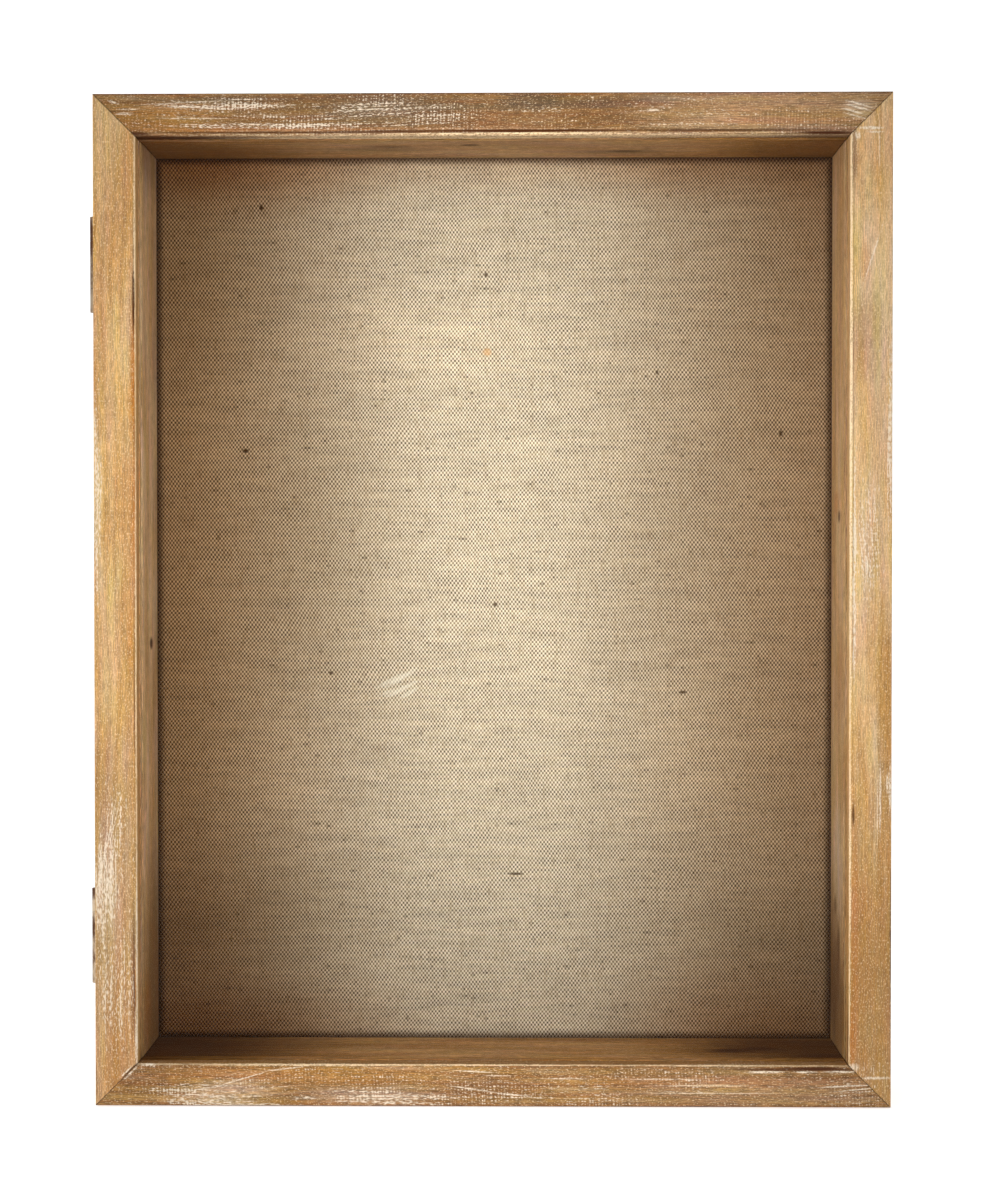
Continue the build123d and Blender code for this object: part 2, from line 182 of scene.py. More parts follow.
def new_material(name, **settings):
    """A material with one Principled shader, whose plain values are set here."""
    material = bpy.data.materials.new(name)
    material.use_nodes = True
    shader = material.node_tree.nodes["Principled BSDF"]
    for key, value in settings.items():
        shader.inputs[key.replace("_", " ").title().replace("Ior", "IOR")].default_value = value
    return material, Tree(material.node_tree), shader.inputs


def dress(name, material):
    """Gives a CAD node its finish."""
    slots = nodes[name].data.materials
    slots.clear()
    slots.append(material)


# --- Effects shared by several finishes ---------------------------------------------------
TURN = 2 * math.pi
GRAIN_WANDER = 7.0 * MM
RED_SHIFT, YELLOW_SHIFT = 0.4, 0.9
RING_SLANT, RING_SHARPNESS = 0.45, 3.0
SAW_PITCH, SAW_LEAN, SAW_WAVER = 1.18 * MM, 0.05, 15.0
ROW_LENGTH, ROW_WIDTH = 30.0 * MM, 0.9 * MM
SPECK_WIDTH = 0.45 * MM
DOT_PITCH, DOT_WAVER = 1.25 * MM, 6.0


def frame_place_group():
    """Where a point lies on a mitred frame.

    Edge is the distance in from the outer edge, Mitre the distance from the nearest mitre, and
    Across runs from the outer side over the front and on down the inner side.
    """
    t, given, out = new_group(
        "Frame Place",
        ["X", "Y", "Z", "Half Width", "Half Height", "Middle Height", "Front", "Board"],
        ["Edge", "Mitre", "Depth", "Across"],
    )
    from_side = t.math("SUBTRACT", given["Half Width"], t.math("ABSOLUTE", given["X"]))
    rise = t.math("ABSOLUTE", t.math("SUBTRACT", given["Z"], given["Middle Height"]))
    from_end = t.math("SUBTRACT", given["Half Height"], rise)
    edge = t.math("MINIMUM", from_side, from_end)
    apart = t.math("ABSOLUTE", t.math("SUBTRACT", from_side, from_end))
    depth = t.math("SUBTRACT", given["Y"], given["Front"])
    inner = t.math("GREATER_THAN", edge, t.math("MULTIPLY", given["Board"], 0.5))
    way = t.math("MULTIPLY_ADD", inner, 2.0, -1.0)
    t.put(out["Edge"], edge)
    t.put(out["Mitre"], t.math("DIVIDE", apart, math.sqrt(2)))
    t.put(out["Depth"], depth)
    t.put(out["Across"], t.math("MULTIPLY_ADD", depth, way, edge))
    return t.tree


def pine_grain_group():
    """Rings, streaks, fibres and pores of a board, and slow drifts in its red and yellow."""
    t, given, out = new_group(
        "Pine Grain", ["Along", "Edge", "Depth", "Seed", "Ring Spacing"],
        ["Cloud", "Blotch", "Streak", "Fibre", "Pore", "Ring", "Wander", "Red", "Yellow"],
    )
    along = t.math("ADD", given["Along"], given["Seed"])
    edge, depth = given["Edge"], given["Depth"]

    def stretched(length, width, detail, roughness=0.5, shift=0.0):
        """Noise whose features are so long and so wide, in millimetres."""
        across = t.math("DIVIDE", t.sum(edge, shift), width * MM)
        inward = t.math("DIVIDE", depth, width * MM)
        down = t.math("DIVIDE", along, length * MM)
        return t.noise(t.vector(down, across, inward), detail, roughness)

    wander = t.product(t.math("SUBTRACT", stretched(70, 50, 1.0), 0.5), GRAIN_WANDER)
    t.put(out["Cloud"], stretched(50, 9, 2.0))
    t.put(out["Blotch"], stretched(28, 2.6, 3.0, shift=wander))
    t.put(out["Streak"], stretched(70, 0.8, 3.0, 0.6, wander))
    t.put(out["Fibre"], stretched(4, 0.34, 2.0))
    t.put(out["Pore"], stretched(0.8, 0.45, 1.0))
    t.put(out["Red"], stretched(24, 3.6, 2.0, shift=RED_SHIFT))
    t.put(out["Yellow"], stretched(34, 4.4, 2.0, shift=YELLOW_SHIFT))
    slant = t.sum(edge, t.product(depth, RING_SLANT), wander)
    phase = t.product(t.math("DIVIDE", slant, given["Ring Spacing"]), TURN)
    wave = t.math("MULTIPLY_ADD", t.math("SINE", phase), 0.5, 0.5)
    t.put(out["Ring"], t.math("POWER", wave, RING_SHARPNESS))
    t.put(out["Wander"], wander)
    return t.tree


def saw_marks_group():
    """Fine lines across a board, left by the saw, stronger in some places than in others."""
    t, given, out = new_group("Saw Marks", ["Along", "Across", "Seed"], ["Line", "Area"])

    def uneven(down, length, width):
        """Noise over a board whose features are so long and so wide, in millimetres."""
        return t.noise(t.vector(
            t.math("DIVIDE", down, length * MM),
            t.math("DIVIDE", given["Across"], width * MM), given["Seed"],
        ))

    lean = t.math("MULTIPLY_ADD", given["Across"], SAW_LEAN, given["Along"])
    waver = t.product(uneven(lean, 4, 20), SAW_WAVER)
    phase = t.sum(t.product(lean, TURN / SAW_PITCH), waver)
    t.put(out["Line"], t.math("MULTIPLY_ADD", t.math("SINE", phase), 0.5, 0.5))
    t.put(out["Area"], t.grade(uneven(given["Along"], 30, 8), 0.42, 0.62))
    return t.tree


def whitewash_group():
    """White paint left in the low places of rough wood, more where Cover is higher.

    It lies in broken rows that follow the grain, in dashes about Dash long, which the saw lines
    cut into dots where Saw Depth is high.
    """
    t, given, out = new_group(
        "Whitewash",
        ["Along", "Across", "Seed", "Wander", "Cover", "Dash", "Saw Line", "Saw Depth"],
        ["Mask"],
    )
    shift = t.sum(given["Along"], given["Seed"])
    level_with = t.sum(given["Across"], given["Wander"])
    row = t.noise(t.vector(
        t.math("DIVIDE", shift, ROW_LENGTH), t.math("DIVIDE", level_with, ROW_WIDTH),
    ), 2.0, 0.6)
    speck = t.noise(t.vector(
        t.math("DIVIDE", shift, given["Dash"]), t.math("DIVIDE", level_with, SPECK_WIDTH),
    ), 1.0)
    phase = t.sum(t.product(level_with, TURN / DOT_PITCH), t.product(row, DOT_WAVER))
    dot = t.product(given["Saw Line"], t.math("MULTIPLY_ADD", t.math("SINE", phase), 0.35, 0.65))
    level = t.sum(
        t.product(speck, 1.2), t.product(row, 0.8), t.product(dot, given["Saw Depth"], 0.36),
        t.product(given["Cover"], 0.34),
    )
    t.put(out["Mask"], t.grade(level, 1.38, 1.66))
    return t.tree


def patch_group():
    """One ragged oval patch on a board, whose middle line climbs by Slope along the board."""
    t, given, out = new_group(
        "Patch",
        ["Along", "Across", "Ragged", "Middle Along", "Middle Across", "Reach", "Width", "Slope"],
        ["Mask"],
    )
    off = t.math("SUBTRACT", given["Along"], given["Middle Along"])
    line = t.math("MULTIPLY_ADD", off, given["Slope"], given["Middle Across"])
    a = t.math("DIVIDE", off, given["Reach"])
    b = t.math("DIVIDE", t.math("SUBTRACT", given["Across"], line), given["Width"])
    away = t.math("SQRT", t.sum(t.product(a, a), t.product(b, b)))
    t.put(out["Mask"], t.grade(t.sum(away, given["Ragged"]), 1.3, 0.4))
    return t.tree


def tarnish_group():
    """Cloudy tarnish and fine scratches on small metal fittings."""
    t, given, out = new_group("Tarnish", ["X", "Y", "Z"], ["Cloud", "Scratch"])

    def spread(width, height, detail):
        """Noise whose features are so wide and so high, in millimetres."""
        sizes = zip(("X", "Y", "Z"), (width, width, height))
        place = [t.math("DIVIDE", given[axis], size * MM) for axis, size in sizes]
        return t.noise(t.vector(*place), detail, 0.6)

    t.put(out["Cloud"], t.grade(spread(3.5, 6, 4.0), 0.35, 0.68))
    t.put(out["Scratch"], spread(0.12, 4, 2.0))
    return t.tree


def weave_group():
    """A plain weave. Warp is 1 where an upright yarn lies on top and 0 where a level one does."""
    t, given, out = new_group(
        "Plain Weave", ["Across", "Up", "Warp Pitch", "Weft Pitch"],
        ["Warp", "Height", "Warp Number", "Weft Number"],
    )
    u = t.math("DIVIDE", given["Across"], given["Warp Pitch"])
    v = t.math("DIVIDE", given["Up"], given["Weft Pitch"])
    over = t.product(
        t.math("SINE", t.product(u, math.pi)), t.math("SINE", t.product(v, math.pi))
    )
    t.put(out["Warp"], t.grade(over, -0.75, 0.75))
    t.put(out["Height"], t.math("ABSOLUTE", over))
    t.put(out["Warp Number"], t.math("FLOOR", u))
    t.put(out["Weft Number"], t.math("FLOOR", v))
    return t.tree


FRAME_PLACE = frame_place_group()
PINE_GRAIN = pine_grain_group()
SAW_MARKS = saw_marks_group()
WHITEWASH = whitewash_group()
PATCH = patch_group()
TARNISH = tarnish_group()
WEAVE = weave_group()

# --- Weathered pine -----------------------------------------------------------------------
LEFT_PALE = srgb(220, 182, 126)
LEFT_HONEY = srgb(200, 150, 88)
RIGHT_PALE = srgb(222, 188, 138)
RIGHT_HONEY = srgb(206, 160, 104)
TOP_PALE = srgb(157, 117, 64)
TOP_HONEY = srgb(119, 80, 36)
BOTTOM_PALE = srgb(168, 127, 71)
BOTTOM_HONEY = srgb(133, 91, 40)
RING_BROWN = srgb(130, 80, 32)
PORE_BROWN = srgb(142, 94, 44)
AMBER = srgb(166, 114, 44)
STAIN_BROWN = srgb(96, 60, 28)
UMBER = srgb(70, 32, 2)
WEATHER_GREY = srgb(72, 58, 42)
WORN_ORANGE = srgb(182, 108, 38)
# Cream is worn wood and pale pores, and also painted highlight and painted light along the inner
# edge and on the top lip.
CREAM_WEAR_AND_HIGHLIGHT = srgb(244, 216, 174)
WHITE_PAINT = srgb(240, 224, 200)
PAINT_HAZE = srgb(206, 184, 158)
# This brown also paints the shadow line along the outer edge of the rails.
KNOT_AND_SHADOW_BROWN = srgb(60, 30, 12)
GRIME = srgb(38, 24, 14)
INNER_LEFT_PALE = srgb(234, 198, 154)
INNER_LEFT_HONEY = srgb(208, 162, 110)
INNER_RIGHT_PALE = srgb(212, 174, 130)
INNER_RIGHT_HONEY = srgb(188, 144, 96)
INNER_PALE = srgb(206, 158, 100)
INNER_HONEY = srgb(170, 118, 58)
LIP_SHADE = srgb(168, 118, 64)

RING_SPACING = 3.4 * MM
GRAIN_RELIEF = 0.25 * MM
WORN_EDGE = 0.18 * MM

TONES = {
    "grey": WEATHER_GREY, "orange": WORN_ORANGE, "cream": CREAM_WEAR_AND_HIGHLIGHT, "knot": KNOT_AND_SHADOW_BROWN,
    "brown": STAIN_BROWN, "haze": PAINT_HAZE, "paint": WHITE_PAINT, "amber": AMBER,
    "shade": LIP_SHADE, "umber": UMBER,
}

# Each mark is its tone, its middle along and across the board, its reach each way along and
# across, all in millimetres, its strength and how much it slants. Along is height on an upright
# board and distance to the right of the middle on a level one. Across is 0 at the outer edge of
# the front, 15 at its inner edge, and runs on down the inner side. White only lets more paint
# show in the grain. Paint, cream and umber lie on top, and every other tone is in the stain.
# The shade tone is painted shade. Cream along the inner edge is wear and painted highlight,
# cream on the top lip is painted light, and umber under the top lip and along the bottom edge
# is painted shadow.
DOOR_LOOKS = {
    "left": {
        "seed": 0.31, "pale": LEFT_PALE, "honey": LEFT_HONEY, "wash": 0.3, "dash": 1.8,
        "saw": 0.25, "arris": (15.2, 0.8), "lip": ("shade", 0.5), "rim": 0.0, "ring": 0.2,
        "streak": 0.28, "fleck": 0.58, "fibre": 0.28,
        "marks": [
            ("white", 214.0, 1.2, 44.0, 1.7, 1.4),
            ("brown", 66.0, 6.0, 60.0, 12.0, 0.2),
            ("brown", 140.0, 8.0, 120.0, 30.0, 0.07),
            ("white", 94.0, 7.5, 26.0, 8.0, 1.1),
            ("white", 76.0, 4.0, 24.0, 6.0, 1.55),
            ("white", 46.0, 7.0, 32.0, 10.0, 1.1),
            ("brown", 60.0, 8.0, 70.0, 16.0, 0.12),
            ("haze", 78.0, 4.0, 30.0, 5.0, 0.2),
            ("orange", 50.0, 10.5, 44.0, 4.0, 0.2),
            ("orange", 262.0, 14.0, 20.0, 0.8, 0.7),
            ("orange", 228.0, 14.5, 56.0, 0.6, 0.65),
            ("orange", 215.0, 13.4, 60.0, 1.0, 0.3),
            ("orange", 165.0, 12.6, 20.0, 1.2, 0.3),
            ("orange", 40.0, 13.8, 18.0, 0.9, 0.6),
            ("brown", 44.0, 13.3, 22.0, 0.8, 0.5),
            ("orange", 12.0, 7.0, 18.0, 10.0, 0.3),
            ("brown", 330.0, 8.0, 30.0, 9.0, 0.12),
            ("umber", 301.0, 14.4, 9.0, 0.35, 0.5),
            ("umber", 291.0, 14.3, 3.0, 0.5, 0.9),
            ("umber", 283.0, 14.3, 13.0, 0.7, 0.9),
            # Cream lines along the inner edge: worn wood and painted highlight.
            ("cream", 316.0, 14.8, 30.0, 0.6, 1.0),
            ("cream", 150.0, 15.0, 60.0, 0.5, 0.6),
            ("paint", 24.0, 14.9, 13.0, 0.8, 1.0),
            ("umber", 52.0, 13.9, 26.0, 0.4, 0.6),
            ("umber", 148.0, 14.2, 24.0, 0.35, 0.55),
            ("umber", 8.0, 0.3, 9.0, 0.4, 0.5),
            ("paint", 54.0, 15.1, 44.0, 0.45, 0.9),
            ("umber", 13.2, 12.6, 2.6, 0.5, 0.8, 1.0),
            ("paint", 12.4, 11.0, 2.2, 0.45, 0.9, 1.0),
            ("paint", 95.0, 5.0, 14.0, 0.3, 0.8, 0.2),
            ("paint", 88.0, 3.2, 12.0, 0.3, 0.8, 0.15),
            ("paint", 84.0, 6.0, 14.0, 0.25, 0.7, 0.12),
            ("paint", 76.0, 4.2, 12.0, 0.35, 0.8, 0.05),
            ("paint", 102.0, 7.6, 8.0, 0.25, 0.6, 0.25),
        ],
    },
    "right": {
        "seed": 2.63, "pale": RIGHT_PALE, "honey": RIGHT_HONEY, "wash": 0.24, "dash": 1.6,
        "saw": 0.2, "arris": (14.9, 0.8), "lip": ("shade", 0.4), "rim": 0.0, "ring": 0.1,
        "streak": 0.2, "fleck": 0.52, "fibre": 0.25,
        "marks": [
            ("amber", 40.0, 8.0, 80.0, 20.0, 0.7),
            ("brown", 30.0, 8.0, 50.0, 20.0, 0.15),
            ("brown", 170.0, 8.0, 60.0, 20.0, 0.05),
            ("amber", 120.0, 2.0, 60.0, 3.0, 0.6),
            ("brown", 272.0, 9.0, 16.0, 7.0, 0.3),
            ("orange", 296.0, 9.8, 8.0, 2.6, 0.35),
            ("brown", 337.0, 13.8, 14.0, 1.4, 0.5),
            ("haze", 250.0, 4.0, 60.0, 5.0, 0.3),
            ("orange", 60.0, 13.0, 60.0, 1.6, 0.3),
            ("white", 236.0, 0.8, 50.0, 1.3, 1.6),
            ("white", 12.0, 9.0, 7.0, 9.0, 0.8),
            ("white", 190.0, 13.2, 60.0, 0.9, 1.8),
            ("white", 200.0, 8.0, 34.0, 6.0, 1.1),
            # Cream lines along the inner edge: worn wood and painted highlight.
            ("cream", 248.0, 14.7, 120.0, 0.8, 1.0),
            ("cream", 80.0, 14.6, 40.0, 0.6, 0.9),
            ("umber", 240.0, 13.7, 120.0, 0.35, 0.35),
            ("umber", 103.0, 13.4, 4.0, 0.6, 0.8),
            ("umber", 61.0, 0.3, 2.0, 0.5, 0.7),
            ("umber", 308.0, 16.1, 36.0, 0.4, 0.7),
            ("umber", 22.0, 16.1, 13.0, 0.7, 0.9),
            ("orange", 24.0, 13.8, 12.0, 1.4, 0.45),
            ("grey", 56.0, 0.2, 34.0, 0.35, 0.7),
            ("paint", 112.0, 0.6, 9.0, 0.45, 1.0),
            ("paint", 342.6, 7.4, 0.6, 4.4, 1.0),
            ("paint", 341.2, 6.0, 0.4, 3.0, 0.8),
            ("paint", 340.0, 12.4, 1.4, 0.8, 0.9),
            ("paint", 338.0, 4.9, 9.0, 0.35, 0.5),
            ("paint", 298.0, 7.2, 10.0, 0.35, 0.7, -0.32),
            ("paint", 190.0, 8.8, 3.0, 0.5, 1.0),
            ("paint", 108.0, 4.0, 13.0, 0.35, 0.8),
            ("paint", 104.0, 5.0, 12.0, 0.25, 0.6),
            ("paint", 114.0, 1.6, 4.0, 0.4, 0.9),
            ("paint", 10.8, 5.0, 0.5, 6.0, 0.8),
            ("paint", 14.6, 13.0, 1.4, 2.0, 0.7),
        ],
    },
    "top": {
        "seed": 4.17, "pale": TOP_PALE, "honey": TOP_HONEY, "wash": 0.4, "dash": 1.3,
        "saw": 0.9, "arris": None, "lip": None, "rim": 0.5, "ring": 0.8,
        "streak": 0.6, "fleck": 0.38, "fibre": 0.4,
        "marks": [
            ("grey", -36.0, 6.0, 34.0, 7.0, 0.75),
            ("grey", 14.0, 3.2, 15.0, 3.4, 0.8),
            ("grey", 36.0, 4.0, 16.0, 2.4, 0.65),
            ("brown", 20.0, 9.0, 40.0, 3.0, 0.4),
            ("brown", -40.0, 8.0, 110.0, 16.0, 0.24),
            ("grey", 56.0, 2.4, 14.0, 1.8, 0.4),
            ("grey", -92.0, 2.6, 40.0, 1.4, 0.5),
            ("amber", -118.0, 9.0, 20.0, 5.0, 0.6),
            ("amber", 100.0, 8.0, 40.0, 7.0, 0.5),
            ("orange", 106.0, 10.0, 28.0, 1.6, 0.4),
            ("orange", -60.0, 12.9, 90.0, 0.8, 0.35),
            ("brown", 40.0, 12.6, 100.0, 0.9, 0.35),
            ("white", -80.0, 11.4, 40.0, 1.5, 1.3),
            ("white", -92.0, 8.0, 40.0, 5.0, 0.72),
            ("white", -96.0, 4.0, 34.0, 2.6, 1.2),
            ("white", -38.0, 6.6, 34.0, 6.0, 1.0),
            ("white", 10.0, 7.0, 26.0, 6.0, 0.66),
            ("white", 68.0, 6.0, 30.0, 6.0, 0.75),
            ("white", 70.0, 11.4, 26.0, 0.8, 1.0),
            ("haze", 128.0, 6.0, 6.0, 4.5, 0.35),
            ("haze", 100.0, 7.0, 50.0, 12.0, 0.18),
            # Painted light on the lip, which faces down into shade.
            ("cream", 0.0, 17.2, 150.0, 4.2, 0.55),
            # Painted shadow under the lip at both ends.
            ("umber", -118.0, 18.8, 40.0, 3.8, 1.0),
            ("umber", 120.0, 18.6, 30.0, 3.0, 0.6),
            ("paint", -132.5, 3.0, 2.4, 0.5, 0.9, 0.3),
            ("paint", -128.5, 7.0, 3.4, 0.5, 0.9),
            ("paint", -127.0, 5.6, 4.0, 0.3, 0.8),
            ("paint", -108.5, 4.7, 5.0, 0.4, 0.9),
            ("paint", -106.0, 3.2, 20.0, 0.2, 0.6, -0.05),
            ("paint", -103.0, 8.8, 13.0, 0.25, 0.7),
            ("paint", -52.0, 5.2, 0.7, 0.6, 0.8),
            ("paint", -46.0, 5.4, 0.8, 0.6, 0.7),
            ("paint", 56.0, 6.3, 3.0, 0.4, 0.9),
            ("paint", 127.0, 4.2, 4.5, 0.4, 0.9, 0.28),
            ("paint", 127.4, 5.6, 4.5, 0.4, 1.0, 0.28),
            ("paint", 126.0, 7.0, 4.0, 0.4, 0.8, 0.28),
            ("paint", 126.0, 8.4, 4.0, 0.3, 0.7, 0.28),
            # Cream along the inner edge: worn wood and painted highlight.
            ("cream", 4.0, 14.3, 46.0, 0.4, 0.8),
            ("umber", -60.0, 13.8, 70.0, 0.45, 0.8),
            ("umber", 10.0, 13.4, 66.0, 0.55, 1.0),
            ("umber", 80.0, 13.4, 46.0, 0.5, 0.8),
            ("umber", 117.0, 14.6, 14.0, 0.9, 1.0),
            # Painted shadow in the corner gap under the lip at the left end, a painted highlight
            # along the lip's back edge, and more painted shadow under the lip.
            ("umber", -126.0, 14.2, 7.0, 1.0, 0.9),
            ("umber", -118.0, 19.0, 26.0, 3.2, 1.0),
            ("cream", -32.0, 20.0, 70.0, 1.0, 0.9),
            ("umber", -118.0, 16.0, 10.0, 1.2, 1.0),
        ],
    },
    "bottom": {
        "seed": 5.71, "pale": BOTTOM_PALE, "honey": BOTTOM_HONEY, "wash": 0.46, "dash": 2.0,
        "saw": 0.85, "arris": (15.0, 0.6), "lip": ("shade", 0.4), "rim": 0.5, "ring": 0.7,
        "streak": 0.7, "fleck": 0.5, "fibre": 0.46,
        "marks": [
            ("grey", -67.0, 2.9, 8.0, 1.2, 0.5),
            ("orange", -86.0, 11.0, 40.0, 3.0, 0.25),
            ("orange", 80.0, 9.0, 50.0, 2.0, 0.25),
            ("amber", -50.0, 11.0, 36.0, 3.4, 0.6),
            ("brown", 0.0, 8.0, 50.0, 14.0, 0.12),
            ("haze", -92.0, 5.0, 16.0, 5.0, 0.3),
            ("haze", -44.0, 4.0, 26.0, 3.6, 0.2),
            ("haze", 90.0, 6.0, 44.0, 8.0, 0.1),
            ("white", -100.0, 5.0, 28.0, 6.0, 0.9),
            ("white", -98.0, 2.8, 26.0, 3.6, 1.3),
            ("white", -36.0, 2.8, 28.0, 3.8, 1.3),
            ("white", -67.0, 3.0, 8.0, 1.2, 1.3),
            ("white", -90.0, 0.5, 34.0, 0.6, 1.5),
            ("white", 40.0, 6.0, 80.0, 6.0, 0.68),
            # Cream lines along the inner edge: worn wood and painted highlight.
            ("cream", -70.0, 14.9, 36.0, 0.8, 1.0),
            ("cream", -20.0, 15.0, 60.0, 0.5, 0.9),
            ("cream", 80.0, 15.0, 44.0, 0.5, 0.8),
            ("paint", -121.0, 14.8, 3.0, 0.6, 1.0),
            ("paint", -88.0, 9.6, 9.0, 0.25, 0.8, 0.3),
            ("paint", -73.0, 13.2, 8.0, 0.3, 0.8, 0.12),
            ("paint", -100.0, 6.4, 10.0, 0.25, 0.6, 0.15),
            ("paint", -6.0, 12.4, 7.0, 0.3, 0.8, -0.05),
            ("paint", 2.0, 11.0, 5.0, 0.25, 0.6),
            ("paint", -8.0, 6.4, 9.0, 0.3, 0.8, -0.14),
            ("paint", 8.0, 4.2, 10.0, 0.3, 0.8, -0.12),
            ("paint", 26.0, 10.0, 8.0, 0.25, 0.7),
            ("paint", 60.0, 9.9, 14.0, 0.2, 0.7),
            ("paint", 70.0, 7.6, 18.0, 0.2, 0.6),
            ("paint", 80.0, 5.0, 22.0, 0.2, 0.6),
            ("umber", 106.0, 13.4, 30.0, 0.6, 0.8),
            ("umber", 114.0, 13.8, 12.0, 0.8, 0.9),
            ("paint", 96.0, 12.5, 7.0, 0.4, 1.0),
            ("paint", 110.0, 12.5, 4.0, 0.45, 1.0),
            ("paint", 122.0, 12.6, 6.0, 0.4, 0.9),
            ("cream", 78.0, 7.7, 16.0, 0.35, 0.8),
            ("paint", 124.0, 7.6, 10.0, 0.25, 0.9, 0.05),
            ("paint", 126.0, 6.2, 8.0, 0.25, 0.8, 0.1),
            # Painted shadow along the bottom edge.
            ("umber", 0.0, 0.1, 150.0, 0.25, 0.5),
            ("paint", -127.4, 11.4, 2.4, 0.45, 0.9, 1.0),
        ],
    },
}
PLAIN = {"wash": 0.1, "dash": 3.0, "saw": 0.1, "arris": None, "lip": None, "rim": 0.0}
CASE_LOOKS = {
    "left": PLAIN | {
        "seed": 7.13, "pale": INNER_LEFT_PALE, "honey": INNER_LEFT_HONEY, "ring": 0.12,
        "streak": 0.25, "fleck": 0.25, "fibre": 0.36,
        "marks": [
            ("umber", 162.0, 34.0, 2.2, 4.0, 1.0),
            ("haze", 250.0, 30.0, 90.0, 30.0, 0.12),
            # This amber, the brown near the bottom and the umber near the top darken the corners
            # of the recess: painted shade.
            ("amber", 24.0, 34.0, 50.0, 34.0, 0.75),
            ("brown", 200.0, 46.0, 160.0, 10.0, 0.22),
            ("shade", 178.0, -24.0, 300.0, 26.0, 0.75),
            ("haze", 325.0, 24.0, 12.0, 6.0, 0.5),
            ("brown", 40.0, 40.0, 60.0, 18.0, 0.5),
            ("orange", 30.0, 24.0, 14.0, 8.0, 0.4),
            ("umber", 340.0, 34.0, 14.0, 30.0, 0.35),
        ],
    },
    "right": PLAIN | {
        "seed": 8.37, "pale": INNER_RIGHT_PALE, "honey": INNER_RIGHT_HONEY, "ring": 0.12,
        "streak": 0.25, "fleck": 0.25, "fibre": 0.36,
        "marks": [
            ("orange", 213.0, 34.0, 5.0, 8.0, 0.4),
            ("shade", 178.0, -24.0, 300.0, 26.0, 0.4),
            ("umber", 208.0, 28.0, 2.2, 3.0, 0.8),
            # The amber and the broad umber near the bottom darken the corner of the recess:
            # painted shade.
            ("amber", 26.0, 34.0, 40.0, 34.0, 0.5),
            ("umber", 44.0, 42.0, 36.0, 20.0, 0.5),
            ("haze", 84.0, 31.0, 24.0, 13.0, 0.45),
            ("umber", 66.0, 36.0, 5.0, 4.0, 0.6),
            ("umber", 54.0, 27.0, 8.0, 4.0, 0.5),
            ("umber", 30.0, 28.0, 26.0, 24.0, 0.5),
        ],
    },
    "top": PLAIN | {
        "seed": 9.41, "pale": INNER_PALE, "honey": INNER_HONEY, "ring": 0.2,
        "streak": 0.35, "fleck": 0.3, "fibre": 0.42,
        "marks": [
            ("haze", 0.0, 34.0, 90.0, 30.0, 0.22),
            # The amber and umber at both ends darken the corners of the recess: painted shade.
            ("amber", -122.0, 34.0, 50.0, 30.0, 0.85),
            ("amber", 122.0, 34.0, 46.0, 30.0, 0.85),
            ("umber", -120.0, 34.0, 50.0, 26.0, 0.45),
            ("brown", -40.0, 30.0, 20.0, 5.0, 0.4),
            ("umber", -38.0, 25.0, 8.0, 3.0, 0.5),
            ("umber", -8.0, 22.0, 4.0, 2.0, 0.8),
            ("grey", 45.0, 36.0, 16.0, 4.0, 0.5),
            ("umber", 48.0, 35.0, 6.0, 2.4, 0.6),
            ("umber", 122.0, 34.0, 40.0, 26.0, 0.38),
            ("amber", 6.0, 27.0, 40.0, 8.0, 0.35),
        ],
    },
    "bottom": PLAIN | {
        "seed": 10.9, "pale": INNER_PALE, "honey": INNER_HONEY, "ring": 0.2,
        "streak": 0.35, "fleck": 0.3, "fibre": 0.42,
        "marks": [
            # The amber and umber at both ends darken the corners of the recess: painted shade.
            ("amber", -116.0, 30.0, 60.0, 36.0, 0.9),
            ("amber", 114.0, 32.0, 56.0, 34.0, 0.8),
            ("umber", -124.0, 30.0, 62.0, 34.0, 0.86),
            ("umber", 112.0, 32.0, 44.0, 26.0, 0.8),
            ("umber", 86.0, 27.0, 8.0, 4.0, 1.0),
            ("umber", 97.0, 30.0, 7.0, 3.0, 0.8),
            ("umber", 122.0, 18.0, 18.0, 4.0, 0.8),
            ("orange", -128.0, 30.0, 5.0, 12.0, 0.5),
        ],
    },
}


